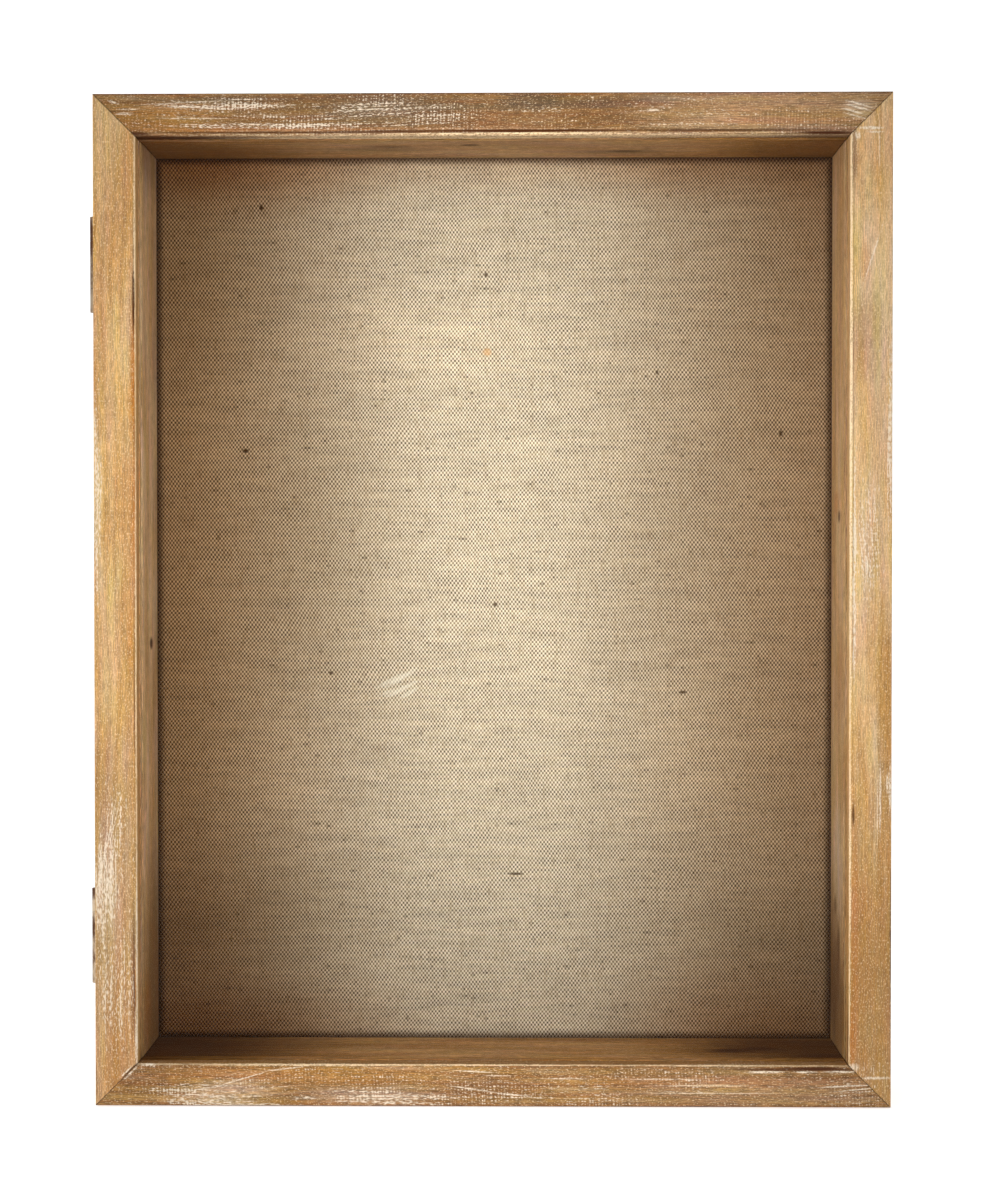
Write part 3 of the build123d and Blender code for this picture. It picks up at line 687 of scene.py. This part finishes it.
def pine(name, side, outer, board, look):
    """Stained, rough-sawn pine for one board of a mitred frame with the given outer box."""
    material, t, shader = new_material(name, specular_ior_level=0.3)
    upright = side in ("left", "right")
    x, y, z = t.place()
    low, high = outer
    spot = t.group(FRAME_PLACE, {
        "X": x, "Y": y, "Z": z, "Half Width": (high.x - low.x) / 2,
        "Half Height": (high.z - low.z) / 2, "Middle Height": (high.z + low.z) / 2,
        "Front": low.y, "Board": board,
    })
    along, across = z if upright else x, spot["Across"]
    grain = t.group(PINE_GRAIN, {
        "Along": along, "Edge": spot["Edge"], "Depth": spot["Depth"], "Seed": look["seed"],
        "Ring Spacing": RING_SPACING,
    })
    saw = t.group(SAW_MARKS, {"Along": along, "Across": across, "Seed": look["seed"]})
    ragged = t.math("MULTIPLY_ADD", grain["Streak"], 1.8, -0.9)

    def mark(middle_along, middle_across, reach, width, strength, slope=0.0):
        mask = t.group(PATCH, {
            "Along": along, "Across": across, "Ragged": ragged,
            "Middle Along": middle_along * MM, "Middle Across": middle_across * MM,
            "Reach": reach * MM, "Width": width * MM, "Slope": slope,
        })["Mask"]
        return t.product(mask, strength)

    # Stain: pale and honey clouds, then haze, amber, growth rings and dark streaks.
    color = t.mix(t.grade(grain["Cloud"], 0.28, 0.72), look["pale"], look["honey"])
    color = t.mix(t.grade(grain["Blotch"], 0.52, 0.72, 0.0, 0.22), color, PAINT_HAZE)
    color = t.mix(t.grade(grain["Blotch"], 0.48, 0.26, 0.0, 0.5), color, AMBER)
    color = t.mix(t.product(grain["Ring"], look["ring"]), color, RING_BROWN)
    color = t.mix(t.grade(grain["Streak"], 0.5, 0.78, 0.0, look["streak"]), color, STAIN_BROWN)

    # Marks in the stain. Paint, umber, and cream for wear and painted highlight lie on top, so
    # they wait for the end.
    cover = look["wash"]
    laid = []
    for tone, *where in look["marks"]:
        if tone == "white":
            cover = t.math("MAXIMUM", cover, mark(*where))
        elif tone in ("paint", "cream", "umber"):
            laid.append((tone, where))
        else:
            color = t.mix(mark(*where), color, TONES[tone])

    # Drifts in hue, the light and dark of single fibres, and the pores.
    drift = t.vector(
        t.math("MULTIPLY_ADD", grain["Red"], 0.32, 0.84), 1.0,
        t.math("MULTIPLY_ADD", grain["Yellow"], -1.3, 1.65),
    )
    color = t.mix(1.0, color, drift, "MULTIPLY")
    fibre = t.grade(grain["Fibre"], 0.3, 0.7, 1.0 - look["fibre"], 1.0 + 0.9 * look["fibre"])
    color = t.mix(1.0, color, t.vector(fibre, fibre, fibre), "MULTIPLY")
    color = t.mix(t.grade(grain["Pore"], 0.56, 0.7, 0.0, look["fleck"]), color, CREAM_WEAR_AND_HIGHLIGHT)
    color = t.mix(t.grade(grain["Pore"], 0.44, 0.28, 0.0, look["fleck"] * 0.5), color, PORE_BROWN)

    # Saw lines, and the white paint that they caught.
    lines = t.product(saw["Area"], look["saw"])
    cut = t.product(t.math("SUBTRACT", 1.0, saw["Line"]), lines)
    color = t.mix(t.product(cut, 0.3), color, STAIN_BROWN)
    wash = t.group(WHITEWASH, {
        "Along": along, "Across": across, "Seed": look["seed"], "Wander": grain["Wander"],
        "Cover": cover, "Dash": look["dash"] * MM, "Saw Line": saw["Line"], "Saw Depth": lines,
    })["Mask"]
    color = t.mix(t.product(cover, 0.06), color, PAINT_HAZE)
    color = t.mix(t.product(wash, 0.8), color, WHITE_PAINT)

    # Painted shadow along the outer edge, and the worn inner edge, partly painted highlight,
    # with painted shade on the lip beyond it.
    rim = t.grade(t.math("ABSOLUTE", across), 0.1 * MM, 0.5 * MM, 1.0, 0.0)
    color = t.mix(t.product(rim, look["rim"]), color, KNOT_AND_SHADOW_BROWN)
    if look["arris"]:
        where, strength = look["arris"]
        off_line = t.math("ABSOLUTE", t.math("SUBTRACT", across, where * MM))
        line = t.product(
            t.grade(off_line, 0.1 * MM, 0.6 * MM, 1.0, 0.0),
            t.grade(grain["Fibre"], 0.3, 0.6, 0.3, 1.0), strength,
        )
        inside = t.grade(across, 15.2 * MM, 16.4 * MM)
        lip_tone, lip_strength = look["lip"]
        color = t.mix(t.product(inside, lip_strength), color, TONES[lip_tone])
        color = t.mix(line, color, CREAM_WEAR_AND_HIGHLIGHT)

    # Marks on top, painted highlights and painted shadows among them, the pale ones broken by the
    # grain, and the dark line of the mitre.
    broken = t.grade(t.sum(grain["Fibre"], grain["Pore"]), 0.86, 1.06, 0.25, 1.0)
    for tone, where in laid:
        gaps = 1.0 if tone == "umber" else broken
        color = t.mix(t.product(mark(*where), gaps), color, TONES[tone])
    joint = t.product(
        t.grade(spot["Mitre"], 0.02 * MM, 0.26 * MM, 1.0, 0.0),
        t.grade(grain["Fibre"], 0.3, 0.6, 0.85, 0.5),
    )
    color = t.mix(joint, color, GRIME)

    t.put(shader["Base Color"], color)
    t.put(shader["Roughness"], t.grade(grain["Streak"], 0.2, 0.8, 0.5, 0.75))
    height = t.sum(
        t.product(grain["Streak"], 0.6), t.product(grain["Fibre"], 0.4),
        t.product(cut, -0.3), t.product(wash, 0.15), t.product(joint, -1.2),
    )
    t.put(shader["Normal"], t.bump(height, GRAIN_RELIEF))
    return material


def soften(node):
    """Takes the sharpness off a CAD node's edges without changing its mesh."""
    weld = node.modifiers.new("weld", "WELD")
    weld.merge_threshold = 0.002 * MM
    bevel = node.modifiers.new("bevel", "BEVEL")
    bevel.width = WORN_EDGE
    bevel.segments = 2
    bevel.limit_method = "ANGLE"
    bevel.angle_limit = math.radians(30)


def finish_boards():
    for side, name in DOOR_BOARDS.items():
        dress(name, pine(f"door pine {side}", side, DOOR, BOARD, DOOR_LOOKS[side]))
        soften(nodes[name])
    for side, name in CASE_BOARDS.items():
        dress(name, pine(f"case pine {side}", side, CASE, BOARD, CASE_LOOKS[side]))
        soften(nodes[name])
    low, high = span(BEADS.values())
    for side, name in BEADS.items():
        dress(name, pine(f"bead pine {side}", side, (low, high), BEAD_WIDTH, CASE_LOOKS[side]))


# --- Linen --------------------------------------------------------------------------------
WARP_LIGHT = srgb(228, 213, 190)
WARP_MID = srgb(202, 183, 156)
WEFT_MID = srgb(132, 112, 85)
WEFT_DARK = srgb(84, 64, 42)
SLUB_BROWN = srgb(74, 54, 32)
# The tan that darkens the cloth towards its edges and corners is painted shade.
EDGE_SHADE_TAN = srgb(200, 167, 127)
# The tan, grey and soft shade tones below darken patches of the cloth: painted shade. The tone
# that brightens patches is painted light.
SHADE_TAN = srgb(214, 176, 134)
SHADE_GREY = srgb(204, 198, 190)
SOFT_SHADE = srgb(238, 236, 232)
PAINTED_LIGHT = (1.15, 1.14, 1.13, 1.0)
CONTACT_SHADE = srgb(98, 72, 50)
RUST_SPOT = srgb(196, 146, 92)
WHITE_SPOT = srgb(240, 232, 214)
WARP_PITCH = 0.66 * MM
WEFT_PITCH = 0.84 * MM
YARN_SWAY = 1.2 * MM
WEAVE_RELIEF = 0.12 * MM
HEM, HEM_STEPS = 25.0 * MM, 5
FOLD_RADIUS, FOLD_STEPS = 0.8 * MM, 4
FACE_CELLS = 96, 124
CLOTH_FILL = 0.8            # share of the room between its solid's two faces that the cloth takes
LOOSENESS = 0.06 * MM
FLAT_RIM, FLAT_FADE = 8.0 * MM, 30.0 * MM
WAVES_ACROSS, WAVES_UP, WAVE_BEND = 61.0, 37.0, 23.0    # radians for each metre
CLEARANCE = 0.04 * MM

# Each flaw in the cloth is its colour, how far right of the middle and how high it is, its reach
# sideways and upwards, all in millimetres, its strength and how steeply it climbs.
FLAWS = [
    (SLUB_BROWN, -85.9, 322.5, 0.7, 1.3, 1.0),
    (SLUB_BROWN, -2.8, 297.6, 0.7, 0.9, 0.9),
    (RUST_SPOT, -2.4, 269.0, 1.6, 1.5, 0.6),
    (SLUB_BROWN, -8.0, 254.0, 0.7, 0.7, 0.8),
    (SLUB_BROWN, 60.3, 261.6, 0.6, 1.0, 0.9),
    (SLUB_BROWN, 105.9, 239.0, 0.8, 1.2, 1.0),
    (SLUB_BROWN, -91.8, 232.7, 1.2, 0.9, 1.0),
    (SLUB_BROWN, 0.6, 175.9, 0.8, 0.9, 0.9),
    (SLUB_BROWN, -60.3, 150.4, 1.0, 0.8, 0.9),
    (SLUB_BROWN, 70.0, 143.5, 1.4, 0.7, 0.9),
    (SLUB_BROWN, 8.0, 76.0, 3.0, 0.6, 0.9),
    (WHITE_SPOT, -38.5, 147.5, 5.0, 1.0, 0.3, 0.5),
    (WHITE_SPOT, -34.5, 148.5, 5.5, 1.1, 0.36, 0.6),
    (WHITE_SPOT, -34.0, 144.5, 6.0, 1.0, 0.36, 0.5),
    (WHITE_SPOT, -31.5, 143.0, 4.0, 0.9, 0.3, 0.6),
    (WHITE_SPOT, -39.0, 143.5, 3.0, 0.8, 0.25, 0.4),
]

# Wide, soft patches of painted shade, and of painted light that brightens the cloth, given in the
# same way.
PAINTED_LIGHT_AND_SHADE = [
    (SOFT_SHADE, -66.0, 196.0, 48.0, 90.0, 1.0),
    (SOFT_SHADE, 54.0, 196.0, 46.0, 70.0, 0.6),
    (SOFT_SHADE, -80.0, 60.0, 60.0, 40.0, 1.0),
    (PAINTED_LIGHT, -20.0, 274.0, 64.0, 24.0, 1.0),
    (PAINTED_LIGHT, 76.0, 116.0, 44.0, 44.0, 0.7),
    (PAINTED_LIGHT, -78.0, 112.0, 30.0, 34.0, 0.6),
    (SHADE_TAN, 0.0, 346.0, 220.0, 24.0, 0.5),
    (SHADE_TAN, -100.0, 340.0, 80.0, 28.0, 0.8),
    (SHADE_TAN, 76.0, 340.0, 60.0, 24.0, 0.5),
    (SHADE_TAN, 124.0, 336.0, 40.0, 50.0, 0.3),
    (SOFT_SHADE, -112.0, 296.0, 50.0, 60.0, 1.0),
    (SOFT_SHADE, -122.0, 54.0, 50.0, 30.0, 1.0),
    (SOFT_SHADE, 104.0, 54.0, 60.0, 26.0, 1.0),
    (SHADE_TAN, -126.0, 30.0, 70.0, 90.0, 0.4),
    (SHADE_TAN, -90.0, 14.0, 80.0, 34.0, 0.7),
    (SOFT_SHADE, -86.0, 20.0, 40.0, 22.0, 1.0),
    (SHADE_TAN, 96.0, 14.0, 70.0, 44.0, 0.7),
    (SHADE_GREY, -128.0, 150.0, 40.0, 190.0, 0.25),
]


def linen_material():
    """Natural linen in a plain weave, with slubs and flaws, painted shade towards its edges and
    corners and where it meets the boards, and patches of painted light and shade.
    """
    material, t, shader = new_material("natural linen", roughness=0.92, specular_ior_level=0.1)
    x, y, z = t.place()

    def drift(width, height, detail, roughness=0.5):
        """Noise over the cloth whose features are so wide and so high, in millimetres."""
        across, up = t.math("DIVIDE", x, width * MM), t.math("DIVIDE", z, height * MM)
        return t.noise(t.vector(across, up), detail, roughness)

    def per_yarn(number, stride, down, length, detail, roughness=0.5):
        """Noise that jumps from yarn to yarn, with features so long in millimetres."""
        yarn, place = t.product(number, stride), t.math("DIVIDE", down, length * MM)
        return t.noise(t.vector(yarn, place), detail, roughness)

    # Yarns that sway a little, each with its own tone, and slubs where the weft is on top.
    sway = t.math("MULTIPLY_ADD", drift(30, 20, 1.0), 2 * YARN_SWAY, -YARN_SWAY)
    weave = t.group(WEAVE, {
        "Across": t.sum(x, y, sway), "Up": t.sum(z, t.product(sway, -0.8)),
        "Warp Pitch": WARP_PITCH, "Weft Pitch": WEFT_PITCH,
    })
    weft_tone = per_yarn(weave["Weft Number"], 3.7, x, 12, 3.0, 0.6)
    warp_tone = per_yarn(weave["Warp Number"], 5.3, z, 6, 2.0)
    warp = t.mix(t.grade(warp_tone, 0.15, 0.65), WARP_MID, WARP_LIGHT)
    weft = t.mix(t.grade(weft_tone, 0.35, 0.65), WEFT_DARK, WEFT_MID)
    color = t.mix(weave["Warp"], weft, warp)
    slub = per_yarn(weave["Weft Number"], 11.3, x, 4.2, 3.0, 0.6)
    hidden = t.math("MULTIPLY_ADD", weave["Warp"], -0.55, 1.0)
    color = t.mix(t.product(t.grade(slub, 0.62, 0.72), hidden, 0.85), color, SLUB_BROWN)
    band = t.grade(drift(30, 3.5, 4.0, 0.65), 0.3, 0.7, 0.9, 1.07)
    color = t.mix(1.0, color, t.vector(band, band, band), "MULTIPLY")
    for tone, middle, height, reach, rise, strength, *slope in FLAWS:
        mask = t.group(PATCH, {
            "Along": x, "Across": z, "Ragged": t.math("MULTIPLY_ADD", weft_tone, 1.2, -0.6),
            "Middle Along": middle * MM, "Middle Across": height * MM,
            "Reach": reach * MM, "Width": rise * MM, "Slope": slope[0] if slope else 0.0,
        })["Mask"]
        color = t.mix(t.product(mask, strength), color, tone)

    # Painted shade towards the edges and corners, tinted tan and strongest between the yarns, and
    # the patches of painted light and shade.
    half_width, half_height = (LINEN[1].x - LINEN[0].x) / 2, (LINEN[1].z - LINEN[0].z) / 2
    rise = t.math("ABSOLUTE", t.math("SUBTRACT", z, CASE_MIDDLE))
    side = t.math("ABSOLUTE", x)
    across, up = t.math("DIVIDE", side, half_width), t.math("DIVIDE", rise, half_height)
    corner = t.product(t.grade(up, 0.45, 1.0), t.grade(across, 0.35, 0.9))
    edge_shade = t.math("MAXIMUM", t.grade(across, 0.1, 0.98, 0.0, 0.9), corner)
    edge_shade = t.product(edge_shade, t.grade(x, 0.0, half_width, 1.0, 0.8))
    shade_between_yarns = t.product(edge_shade, t.math("SUBTRACT", 1.0, weave["Warp"]), 0.4)
    color = t.mix(shade_between_yarns, color, SLUB_BROWN)
    color = t.mix(edge_shade, color, EDGE_SHADE_TAN, "MULTIPLY")
    # Patches of painted shade and painted light.
    for tone, middle, height, reach, tall, strength in PAINTED_LIGHT_AND_SHADE:
        a = t.math("DIVIDE", t.math("SUBTRACT", x, middle * MM), reach * MM)
        b = t.math("DIVIDE", t.math("SUBTRACT", z, height * MM), tall * MM)
        away = t.math("SQRT", t.sum(t.product(a, a), t.product(b, b)))
        color = t.mix(t.grade(away, 0.0, 1.0, strength, 0.0), color, tone, "MULTIPLY")

    # Shade in the corner that the cloth makes with the boards.
    opening = (CASE[1].x - CASE[0].x) / 2 - BOARD, (CASE[1].z - CASE[0].z) / 2 - BOARD
    inset = t.math(
        "MINIMUM", t.math("SUBTRACT", opening[0], side), t.math("SUBTRACT", opening[1], rise)
    )
    color = t.mix(t.grade(inset, 0.2 * MM, 3.6 * MM, 0.85, 0.0), color, CONTACT_SHADE, "MULTIPLY")
    t.put(shader["Base Color"], color)
    relief = t.sum(weave["Height"], t.product(weave["Warp"], 0.5))
    t.put(shader["Normal"], t.bump(relief, WEAVE_RELIEF, 0.5))
    return material


def cloth_path(flat, front, back):
    """Points from the edge of a wrapped panel's flat face round its side to the hem's end.

    Each point is how far out it lies and how deep.
    """
    turns = [math.pi / 2 * i / FOLD_STEPS for i in range(FOLD_STEPS + 1)]
    out_by = [FOLD_RADIUS * math.sin(turn) for turn in turns]
    short_by = [FOLD_RADIUS * (1 - math.cos(turn)) for turn in turns]
    over_front = [(flat + out, front + short) for out, short in zip(out_by, short_by)]
    over_back = [(flat + FOLD_RADIUS - short, back - FOLD_RADIUS + out)
                 for out, short in zip(out_by, short_by)]
    hem = [(flat - (HEM - FOLD_RADIUS) * i / HEM_STEPS, back) for i in range(1, HEM_STEPS + 1)]
    return over_front + over_back + hem


def quads(mesh, rows):
    """Joins rows of vertices into a sheet."""
    for row, after in zip(rows, rows[1:]):
        for a, b, c, d in zip(row, row[1:], after[1:], after):
            mesh.faces.new((a, b, c, d))


def linen_sheet():
    """The cloth stretched over the pin board: its face, four folded sides and mitred hems."""
    low, high = LINEN
    thickness = (PIN_BOARD[0].y - low.y) * CLOTH_FILL
    front, back = low.y + CLEARANCE, high.y - CLEARANCE
    flat_x = (high.x - low.x) / 2 - CLEARANCE - FOLD_RADIUS
    flat_z = (high.z - low.z) / 2 - CLEARANCE - FOLD_RADIUS
    cells_x, cells_z = FACE_CELLS
    mesh = bmesh.new()

    def puckered(x, z):
        """Slight unevenness of the stretched face, none near its edge."""
        inset = min(flat_x - abs(x), flat_z - abs(z))
        fade = min(1.0, max(0.0, (inset - FLAT_RIM) / FLAT_FADE))
        bend = 1.3 * math.sin(z * WAVE_BEND)
        ripple = math.sin(x * WAVES_ACROSS + bend) * math.sin(z * WAVES_UP + 0.7)
        return front + (1 + ripple) * LOOSENESS * fade

    def steps(half, cells):
        """Evenly spaced places from one side of the middle to the other."""
        return [half * (2 * i / cells - 1) for i in range(cells + 1)]

    def vertex(x, depth, z):
        return mesh.verts.new((x, depth, CASE_MIDDLE + z))

    quads(mesh, [
        [vertex(x, puckered(x, z), z) for x in steps(flat_x, cells_x)]
        for z in steps(flat_z, cells_z)
    ])
    for upright, flat, along, cells in (
        (True, flat_x, flat_z, cells_z), (False, flat_z, flat_x, cells_x),
    ):
        for way in (-1, 1):
            rows = []
            for out_by, depth in cloth_path(flat, front, back):
                mitre = max(0.0, flat - out_by)
                places = steps(along - mitre, cells)
                if upright:
                    rows.append([vertex(way * out_by, depth, place) for place in places])
                else:
                    rows.append([vertex(place, depth, way * out_by) for place in places])
            quads(mesh, rows)
    bmesh.ops.remove_doubles(mesh, verts=mesh.verts, dist=0.01 * MM)
    bmesh.ops.recalc_face_normals(mesh, faces=mesh.faces)
    data = bpy.data.meshes.new("linen")
    mesh.to_mesh(data)
    mesh.free()
    for polygon in data.polygons:
        polygon.use_smooth = True
    piece = bpy.data.objects.new("linen", data)
    bpy.context.scene.collection.objects.link(piece)
    data.materials.append(linen_material())
    solid = piece.modifiers.new("thickness", "SOLIDIFY")
    solid.thickness = thickness
    solid.offset = -1
    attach(piece, "case")
    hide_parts("linen_cover")
    depth = high.y - low.y
    flat = (high.x - low.x + 2 * (depth + HEM), high.z - low.z + 2 * (depth + HEM))


# --- Glass, boards and metal fittings -----------------------------------------------------
GLASS_TINT = (0.97, 0.98, 0.97, 1.0)
SCRATCH_RELIEF = 0.02 * MM
FLECK_RELIEF = 0.12 * MM
CLOUDS_PER_METRE = 22.0


def clear_glass():
    """Thin clear glass that lets lamps through without casting a dark shadow."""
    material, t, shader = new_material(
        "clear glass", base_color=(0.985, 0.992, 0.985, 1.0), roughness=0.0,
        transmission_weight=1.0, ior=1.15,
    )
    tree = material.node_tree
    output = tree.nodes["Material Output"]
    lamp = t.add("ShaderNodeLightPath").outputs["Is Shadow Ray"]
    passing = t.add("ShaderNodeBsdfTransparent", {"Color": GLASS_TINT})
    smear = t.noise(t.add("ShaderNodeTexCoord").outputs["Object"], 3.0)
    t.put(shader["Roughness"], t.grade(smear, 0.3, 0.9, 0.0, 0.03))
    both = t.add("ShaderNodeMixShader")
    t.put(both.inputs[0], lamp)
    t.put(both.inputs[1], tree.nodes["Principled BSDF"].outputs[0])
    t.put(both.inputs[2], passing.outputs[0])
    t.put(output.inputs["Surface"], both.outputs[0])
    return material


def metal(name, bright, dull, low_roughness, high_roughness):
    """A small metal fitting, bright in part and tarnished in part."""
    material, t, shader = new_material(name, metallic=1.0)
    x, y, z = t.place()
    marks = t.group(TARNISH, {"X": x, "Y": y, "Z": z})
    t.put(shader["Base Color"], t.mix(marks["Cloud"], bright, dull))
    t.put(shader["Roughness"], t.grade(
        t.sum(t.product(marks["Cloud"], 0.7), t.product(marks["Scratch"], 0.3)),
        0.1, 0.9, low_roughness, high_roughness,
    ))
    t.put(shader["Normal"], t.bump(marks["Scratch"], SCRATCH_RELIEF, 0.5))
    return material


def board_stuff(name, light, dark, fleck_size):
    """Pressed fibre: soft clouds of tone with fine flecks."""
    material, t, shader = new_material(name, specular_ior_level=0.3)
    place = t.add("ShaderNodeTexCoord").outputs["Object"]
    fine = t.add(
        "ShaderNodeVectorMath", {"Vector": place, "Scale": 1 / fleck_size}, operation="SCALE"
    )
    broad = t.add(
        "ShaderNodeVectorMath", {"Vector": place, "Scale": CLOUDS_PER_METRE}, operation="SCALE"
    )
    fleck = t.noise(fine.outputs[0], 4.0, 0.65)
    cloud = t.noise(broad.outputs[0], 3.0)
    tone = t.sum(t.product(fleck, 0.7), t.product(cloud, 0.3))
    t.put(shader["Base Color"], t.mix(t.grade(tone, 0.3, 0.7), dark, light))
    t.put(shader["Roughness"], t.grade(fleck, 0.3, 0.7, 0.72, 0.92))
    t.put(shader["Normal"], t.bump(fleck, FLECK_RELIEF, 0.7))
    return material


def finish_fittings():
    dress("glazing_pane", clear_glass())
    brass = metal("antique brass", srgb(242, 216, 184), srgb(132, 94, 72), 0.3, 0.6)
    steel = metal("plated steel", srgb(205, 200, 190), srgb(150, 142, 130), 0.25, 0.5)
    nickel = metal("nickel", srgb(214, 210, 204), srgb(180, 176, 170), 0.12, 0.3)
    for height in ("upper", "lower"):
        for part in ("case_leaf", "door_leaf", "pin"):
            dress(f"{height}_hinge_{part}", brass)
    for name in ("hinge_screws_case", "hinge_screws_door"):
        dress(name, brass)
    for name in ("sawtooth_hanger_top", "sawtooth_hanger_side", "case_corner_brads", "back_points",
                 "door_corner_nails", "door_strikes"):
        dress(name, steel)
    dress("case_magnets", nickel)
    for name, finish, light, dark, fleck_size in (
        ("pin_board", "soft fibre board", srgb(176, 150, 112), srgb(142, 116, 82), 1.1 * MM),
        ("back_panel", "hardboard", srgb(128, 88, 54), srgb(92, 60, 36), 0.6 * MM),
        ("wall_bumpers", "brown felt", srgb(112, 94, 76), srgb(74, 60, 48), 0.4 * MM),
    ):
        dress(name, board_stuff(finish, light, dark, fleck_size))


# --- Floor, light and camera --------------------------------------------------------------
FLOOR_HALF, FLOOR_NEAR, FLOOR_FAR, FLOOR_DROP = 4.0, -3.0, 3.6, 0.05 * MM
FLOOR_EVEN = -0.6           # its smooth shading starts to turn up behind this row
BACKDROP_TOP, BEND, BEND_STEPS = 4.5, 1.0, 16
PAPER_WHITE = (0.9, 0.9, 0.895, 1.0)
PAPER_GLOW, GLOW_FROM = 0.62, (-0.3, -0.16)
SIDE_LAMP = (0.94, -0.34, CASE_MIDDLE + 0.18)
LENS, SENSOR = 68.7, 36.0
CAMERA_AWAY, CAMERA_RIGHT, CAMERA_UP = 0.80094, 0.010755, 0.01417
TILT, ROLL, PAN = -0.01705, 0.0003, 0.01367


def studio():
    """A pale floor that curves up into a pale backdrop."""
    data = bpy.data.meshes.new("studio floor")
    mesh = bmesh.new()
    flat_end = FLOOR_FAR - BEND
    profile = [(FLOOR_NEAR, 0.0), (FLOOR_EVEN, 0.0)]
    for i in range(BEND_STEPS + 1):
        turn = math.pi / 2 * i / BEND_STEPS
        profile.append((flat_end + BEND * math.sin(turn), BEND - BEND * math.cos(turn)))
    profile.append((FLOOR_FAR, BACKDROP_TOP))
    quads(mesh, [
        [mesh.verts.new((x, y, z - FLOOR_DROP)) for x in (-FLOOR_HALF, FLOOR_HALF)]
        for y, z in profile
    ])
    bmesh.ops.recalc_face_normals(mesh, faces=mesh.faces)
    mesh.to_mesh(data)
    mesh.free()
    for polygon in data.polygons:
        polygon.use_smooth = True
    floor = bpy.data.objects.new("studio floor", data)
    bpy.context.scene.collection.objects.link(floor)
    material, t, shader = new_material(
        "matt white paper", base_color=PAPER_WHITE, roughness=0.95,
        specular_ior_level=0.1, emission_strength=PAPER_GLOW,
    )
    # It glows behind GLOW_FROM, but not where the pane mirrors it.
    mirrored = t.add("ShaderNodeLightPath").outputs["Is Glossy Ray"]
    behind = t.grade(t.place()[1], *GLOW_FROM)
    glow = t.product(behind, t.math("SUBTRACT", 1.0, mirrored))
    t.put(shader["Emission Color"], t.vector(glow, glow, glow))
    data.materials.append(material)


def soft_box(name, at, aim, width, height, power, spread=math.pi):
    """A white panel lamp that lights the wood and the linen but isn't mirrored in the pane."""
    light = bpy.data.lights.new(name, "AREA")
    light.shape = "RECTANGLE"
    light.size = width
    light.size_y = height
    light.energy = power
    light.spread = spread
    lamp = bpy.data.objects.new(name, light)
    lamp.location = at
    lamp.rotation_euler = (Vector(aim) - Vector(at)).to_track_quat("-Z", "Z").to_euler()
    lamp.visible_camera = False
    lamp.visible_glossy = False
    lamp.visible_transmission = False
    bpy.context.scene.collection.objects.link(lamp)


def lights():
    world = bpy.data.worlds.new("studio")
    world.use_nodes = True
    background = world.node_tree.nodes["Background"]
    background.inputs["Color"].default_value = (1.0, 1.0, 1.0, 1.0)
    background.inputs["Strength"].default_value = 0.4
    bpy.context.scene.world = world
    soft_box(
        "front strip", (0.0, -0.45, CASE_MIDDLE + 0.04), (0.0, 0.0, CASE_MIDDLE + 0.025),
        width=0.02, height=0.3, power=0.285, spread=math.radians(50),
    )
    x, y, z = SIDE_LAMP
    middle = (0.0, 0.0, CASE_MIDDLE)
    soft_box("left side", (-x, y, z), middle, width=0.25, height=0.8, power=5.0)
    soft_box("right side", (x, y, z), middle, width=0.25, height=0.8, power=1.5)


def camera():
    """Nearly square on, a little right of the middle and slightly above it."""
    data = bpy.data.cameras.new("camera")
    data.lens = LENS
    data.sensor_width = SENSOR
    data.sensor_fit = "AUTO"
    view = bpy.data.objects.new("camera", data)
    view.location = (CAMERA_RIGHT, DOOR[0].y - CAMERA_AWAY, CASE_MIDDLE + CAMERA_UP)
    view.rotation_euler = Euler((math.pi / 2 + TILT, ROLL, PAN), "XYZ")
    bpy.context.scene.collection.objects.link(view)
    bpy.context.scene.camera = view


finish_boards()
linen_sheet()
finish_fittings()
studio()
lights()
camera()
bpy.context.scene.view_settings.view_transform = "Standard"
